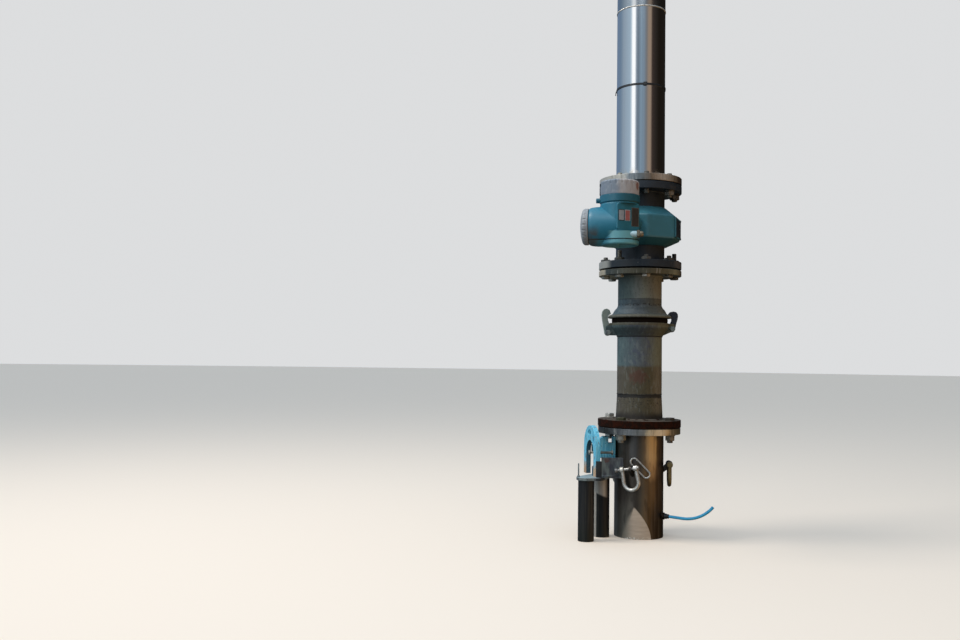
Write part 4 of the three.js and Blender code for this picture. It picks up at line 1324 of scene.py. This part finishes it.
def shackle_bow():
    """A bar bent to a U about the pin's middle: two legs that open out to a half circle, each with an
    eye."""
    wire, span, bend, drop = [SHACKLE[name] for name in ("wire", "span", "bend", "drop")]
    turn = np.linspace(0, np.pi, 33)
    bottom = np.column_stack([-bend * np.cos(turn), 0 * turn, -drop - bend * np.sin(turn)])
    leg = np.linspace(0, 1, 8, endpoint=False)[:, None]
    left = np.array([-span, 0, -5]) + leg * np.array([0, 0, 5 - drop])
    left[:, :1] += (span - bend) * leg * leg * (3 - 2 * leg)
    right = (left * np.array([-1, 1, 1]))[::-1]
    bow = swept(np.vstack([left, bottom, right]), wire, 24, reference=(0, 1, 0))
    eye = ring(10.5, 5.6, -wire, wire, 1.6, 40)
    return [bow, *[along_x(eye, (x, 0, 0)) for x in (-span, span)]]


def shackle_pin():
    """A round pin with a flat head at its long end and a thin six-sided nut at the other."""
    head = disc(8.5, -49, -42, 1.6, 32)
    nut = hexagon(12.8, 31.5, 35, 0.8)
    shank = disc(5, -42, 31.5, 0.5, 24)
    return [along_x(shell, (0, 0, 0)) for shell in (head, nut, shank)]


def add_lugs():
    """Three lifting lugs with their shackles, and the loose link."""
    for where, lug in LUGS.items():
        softened(f"{where}_lug", "wet_stainless")
        at = outward(lug["azimuth"], PIN_REACH, lug["height"])
        bow, pin = [
            [placed(tipped(shell, lug["tilt"]), at, lug["azimuth"]) for shell in shells]
            for shells in (shackle_bow(), shackle_pin())
        ]
        # The side shackle is given the painted shade and wall reflection.
        steels = (SHADED_SHACKLE, SHADED_SHACKLE) if where == "side" else ("shackle_steel", PIN_STEEL)
        shackle = f"{where}_shackle"
        piece(f"{where}_bow", bow, steels[0], body=shackle, stands_for=[shackle + "_bow"])
        piece(f"{where}_pin", pin, steels[1], stands_for=[shackle + "_pin"])
    piece("loose_link", [spare_link()], "shackle_steel", stands_for=["spare_link"])


LINK = {"wire": 3.0, "straight": 29.0, "bend": 12.0, "azimuth": -6.5, "tilt": 45.5, "rise": 3.0}


def spare_link():
    """A bar bent to a long ring: a point goes round a circle, and each half of it is moved out along
    the link."""
    wire, straight, bend, azimuth = [LINK[name] for name in ("wire", "straight", "bend", "azimuth")]
    tilt, turn = math.radians(LINK["tilt"]), math.radians(azimuth)
    reach = reach_of("lower_pipe") + FIT + wire
    centre = outward(azimuth, reach, LUGS["front"]["height"] + LINK["rise"])
    tangent = np.array([math.cos(turn), math.sin(turn), 0])
    up = np.array([0, 0, 1])
    along = tangent * math.cos(tilt) - up * math.sin(tilt)
    across = tangent * math.sin(tilt) + up * math.cos(tilt)
    angle = np.linspace(-np.pi / 2, np.pi / 2, 17)[:, None]
    half = centre + straight * along + bend * (np.cos(angle) * along + np.sin(angle) * across)
    other = 2 * centre - half
    return swept(np.vstack([half, other]), wire, 16, loop=True, reference=np.cross(along, across))


def add_tap():
    """The socket low on the pipe, with its weld and the fitting of the plastic tube."""
    at = (0, 0, TAP["height"])
    radius = reach_of("lower_pipe")
    boss = pointed(disc(12, radius - 2, 92, 1.0, 40), TAP["azimuth"], at)
    angle = np.linspace(0, 2 * np.pi, 48, endpoint=False)
    bead = np.column_stack([12.5 * np.cos(angle), 12.5 * np.sin(angle), 0 * angle + radius])
    bead = pointed(swept(bead, 2.0, 8, loop=True), TAP["azimuth"], at)
    piece("tap_socket", [boss, bead], "wet_stainless", stands_for=["tap_boss"])
    body = [[2, 92.3], [9, 92.3], [9, 100], [7.5, 101], [7.5, 106], [6.8, 108], [2, 108]]
    body = pointed(turned(eased(body, 0.6), 40), TAP["azimuth"], at)
    piece("tube_fitting", [body], "black_plastic", stands_for=["push_in_fitting"])


# Fasteners

BOLT = 10
NUT = 30


def fastener(azimuth, *shells):
    """Shells drawn on the axis, set on the bolt circle at the azimuth."""
    return [placed(placed(shell, (0, -BOLT_CIRCLE, 0)), azimuth=azimuth) for shell in shells]


def washer(foot, top, radius=18, ease=0.6):
    """A washer round a bolt."""
    return ring(radius, BOLT, foot, top, ease, 40)


def add_fasteners():
    """Bolts of 20 mm: four with low heads at the deck joint, eight at each flange pair of the meter.
    The nuts of the lower pair sit dark and low on the navy flange."""
    low, high = heights("lower_pipe_flange")[0], heights("adaptor_flange")[1]
    deck_bolts = {-130: (15, ZINC), -40: (10, OLIVE_BOLT), 50: (10, DARK_ZINC), 140: (12, ZINC)}
    nuts = []
    for azimuth, (tall, finish) in deck_bolts.items():
        head = fastener(azimuth, hexagon(NUT, high + 2, high + tall), washer(high, high + 2))
        piece(f"deck_bolt_{azimuth % 360}", head, finish)
        nut = hexagon(NUT, low - 19, low - 3)
        nuts += fastener(azimuth, nut, washer(low - 3, low), threaded(BOLT, low - 27, low - 18))
    piece("deck_nuts", nuts, ZINC)
    low, high = heights("meter_counter_flange")[0], heights("meter_lower_flange")[1]
    heads, nuts = [], []
    for azimuth in range(0, 360, 45):
        heads += fastener(azimuth, hexagon(26, low - 9.5, low - 1), washer(low - 1, low, 15, 0.3))
        end = high + (34 if azimuth in (90, 315) else 18)
        nuts += fastener(azimuth, hexagon(NUT, high, high + 10), threaded(8, high + 9, end))
    piece("lower_meter_bolts", heads, ZINC)
    piece("lower_meter_nuts", nuts, DARK_ZINC)
    low, high = heights("meter_upper_flange")[0], heights("upper_pipe_flange")[1]
    upper, end = [], threaded(9, high - 1, high + 9)
    for azimuth in range(45, 360, 45):
        nut = hexagon(NUT, low - 17, low - 2)
        upper += fastener(azimuth, nut, washer(low - 2, low), threaded(BOLT, low - 23, low - 16), end)
    piece("upper_meter_bolts", upper, ZINC)
    piece("upper_meter_stud", fastener(0, threaded(9, low - 14, low + 1), end), DARK_ZINC)


def finish_nodes():
    """Gives each solid that still shows the finish that the record names for it."""
    slots = {row["node"]: row["material_slot"] for row in frame["record"]["subparts"]}
    for name, thing in frame["nodes"].items():
        thing.data.materials.clear()
        thing.data.materials.append(FINISHES[slots[name]].material)


# Stage: a pale floor, a plain sky and soft lights

FLOOR_DEPTH = 0.0004
FLOOR_LOOK = {"Base Color": (0.9, 0.78, 0.66, 1), "Roughness": 0.85}
FLOOR_LOOK |= {"Emission Color": (0.12, 0.09, 0.06, 1), "Emission Strength": 1.0}


def add_floor():
    """Rings of growing reach about the origin, in metres, just under the column."""
    angle = np.linspace(0, 2 * np.pi, 64, endpoint=False)
    rows = [(reach * np.sin(angle), reach * np.cos(angle)) for reach in (0.3, 1, 3, 8, 20, 60)]
    points = [np.column_stack([x, y, 0 * angle - FLOOR_DEPTH]) for x, y in rows]
    corners, blocks = grid(np.stack(points))
    mesh = bpy.data.meshes.new("floor")
    faces = [row for block in blocks[:2] for row in block.tolist()]
    mesh.from_pydata(corners, [], faces)
    floor_paint = bpy.data.materials.new("floor")
    floor_paint.use_nodes = True
    shader = floor_paint.node_tree.nodes["Principled BSDF"]
    for name, value in FLOOR_LOOK.items():
        shader.inputs[name].default_value = value
    mesh.materials.append(floor_paint)
    floor = bpy.data.objects.new("floor", mesh)
    bpy.context.scene.collection.objects.link(floor)
    floor.visible_diffuse = False
    floor.visible_glossy = False


# Light by azimuth in degrees, as the bright pipe shows it: pale blue at the left, one bright strip, a
# blue-grey front, a tan strip and a dark right side.
ROUND_ABOUT = [
    (-180, "56687a"), (-157, "63758e"), (-122, "697d91"), (-100, "8998a6"), (-62, "98abba"),
    (-55, "c2cfda"), (-52, "ffffff"), (-38, "ffffff"), (-33, "8795a3"), (-24, "5f6b78"),
    (-10, "7b8f9f"), (6, "71808e"), (18, "74706e"), (27, "917e6d"), (37, "937f6e"), (44, "392f2b"),
    (64, "28231f"), (84, "1a1510"), (150, "1c1916"), (180, "56687a"),
]
OVERHEAD = "9db1c4"
UNDERNEATH = "2a2a20"
LOW_RIGHT = "a58a68"
LOW_RIGHT_AZIMUTH = 68
BACKDROP = (0.45, 0.455, 0.46, 1)
SKY_STRENGTH = 1.6


def add_world():
    """Light by azimuth, even light overhead and dark below. The camera sees a plain pale backdrop."""
    world = bpy.data.worlds.new("world")
    bpy.context.scene.world = world
    world.use_nodes = True
    tree = Tree(world.node_tree)
    direction = tree.node("ShaderNodeTexCoord", output="Generated")
    x, y, z = tree.axes(direction)
    azimuth = tree.azimuth(x, y)
    colour = tree.ramp(azimuth, ROUND_ABOUT)
    colour = tree.blend(tree.step(z, 0.45, 0.8), colour, OVERHEAD)
    colour = tree.blend(tree.step(z, 0.0, -0.1) * 0.82, colour, UNDERNEATH)
    off = abs(azimuth - LOW_RIGHT_AZIMUTH)
    below = tree.step(z, 0.03, -0.05) * tree.step(z, -0.9, -0.6)
    colour = tree.blend(tree.step(off, 55, 35) * below, colour, LOW_RIGHT)
    seen = tree.node("ShaderNodeLightPath", output="Is Camera Ray")
    colour = tree.blend(seen, colour, BACKDROP)
    background = world.node_tree.nodes["Background"]
    world.node_tree.links.new(colour.socket, background.inputs["Color"])
    background.inputs["Strength"].default_value = SKY_STRENGTH


WARM = (1, 0.96, 0.9)


def add_light(name, azimuth, distance, height, size, power, colour=(1, 1, 1)):
    """A square light, in metres and watts. It faces the column at 1 m, or at its own height if lower."""
    data = bpy.data.lights.new(name, "AREA")
    data.shape = "RECTANGLE"
    data.size = data.size_y = size
    data.energy = power
    data.color = colour
    light = bpy.data.objects.new(name, data)
    place = outward(azimuth, distance) + AXIS
    light.location = (place[0], place[1], height)
    target = Vector((AXIS[0], AXIS[1], min(height, 1.0)))
    light.rotation_euler = (target - light.location).to_track_quat("-Z", "Y").to_euler()
    bpy.context.scene.collection.objects.link(light)


def add_stage():
    """Everything that isn't part of the column."""
    add_floor()
    add_world()
    add_light("high_left", azimuth=-80, distance=2.8, height=4.6, size=1.6, power=110, colour=WARM)
    add_light("high_front", azimuth=-10, distance=3.0, height=4.2, size=1.8, power=30)
    bpy.context.scene.view_settings.view_transform = "Standard"


add_lower_pipe()
add_coupling()
add_latches()
add_meter()
add_converter_housing()
add_converter_covers()
add_neck_and_gland()
add_head_details()
add_upper_pipe()
add_guides()
add_lugs()
add_tap()
add_fasteners()
finish_nodes()
add_stage()
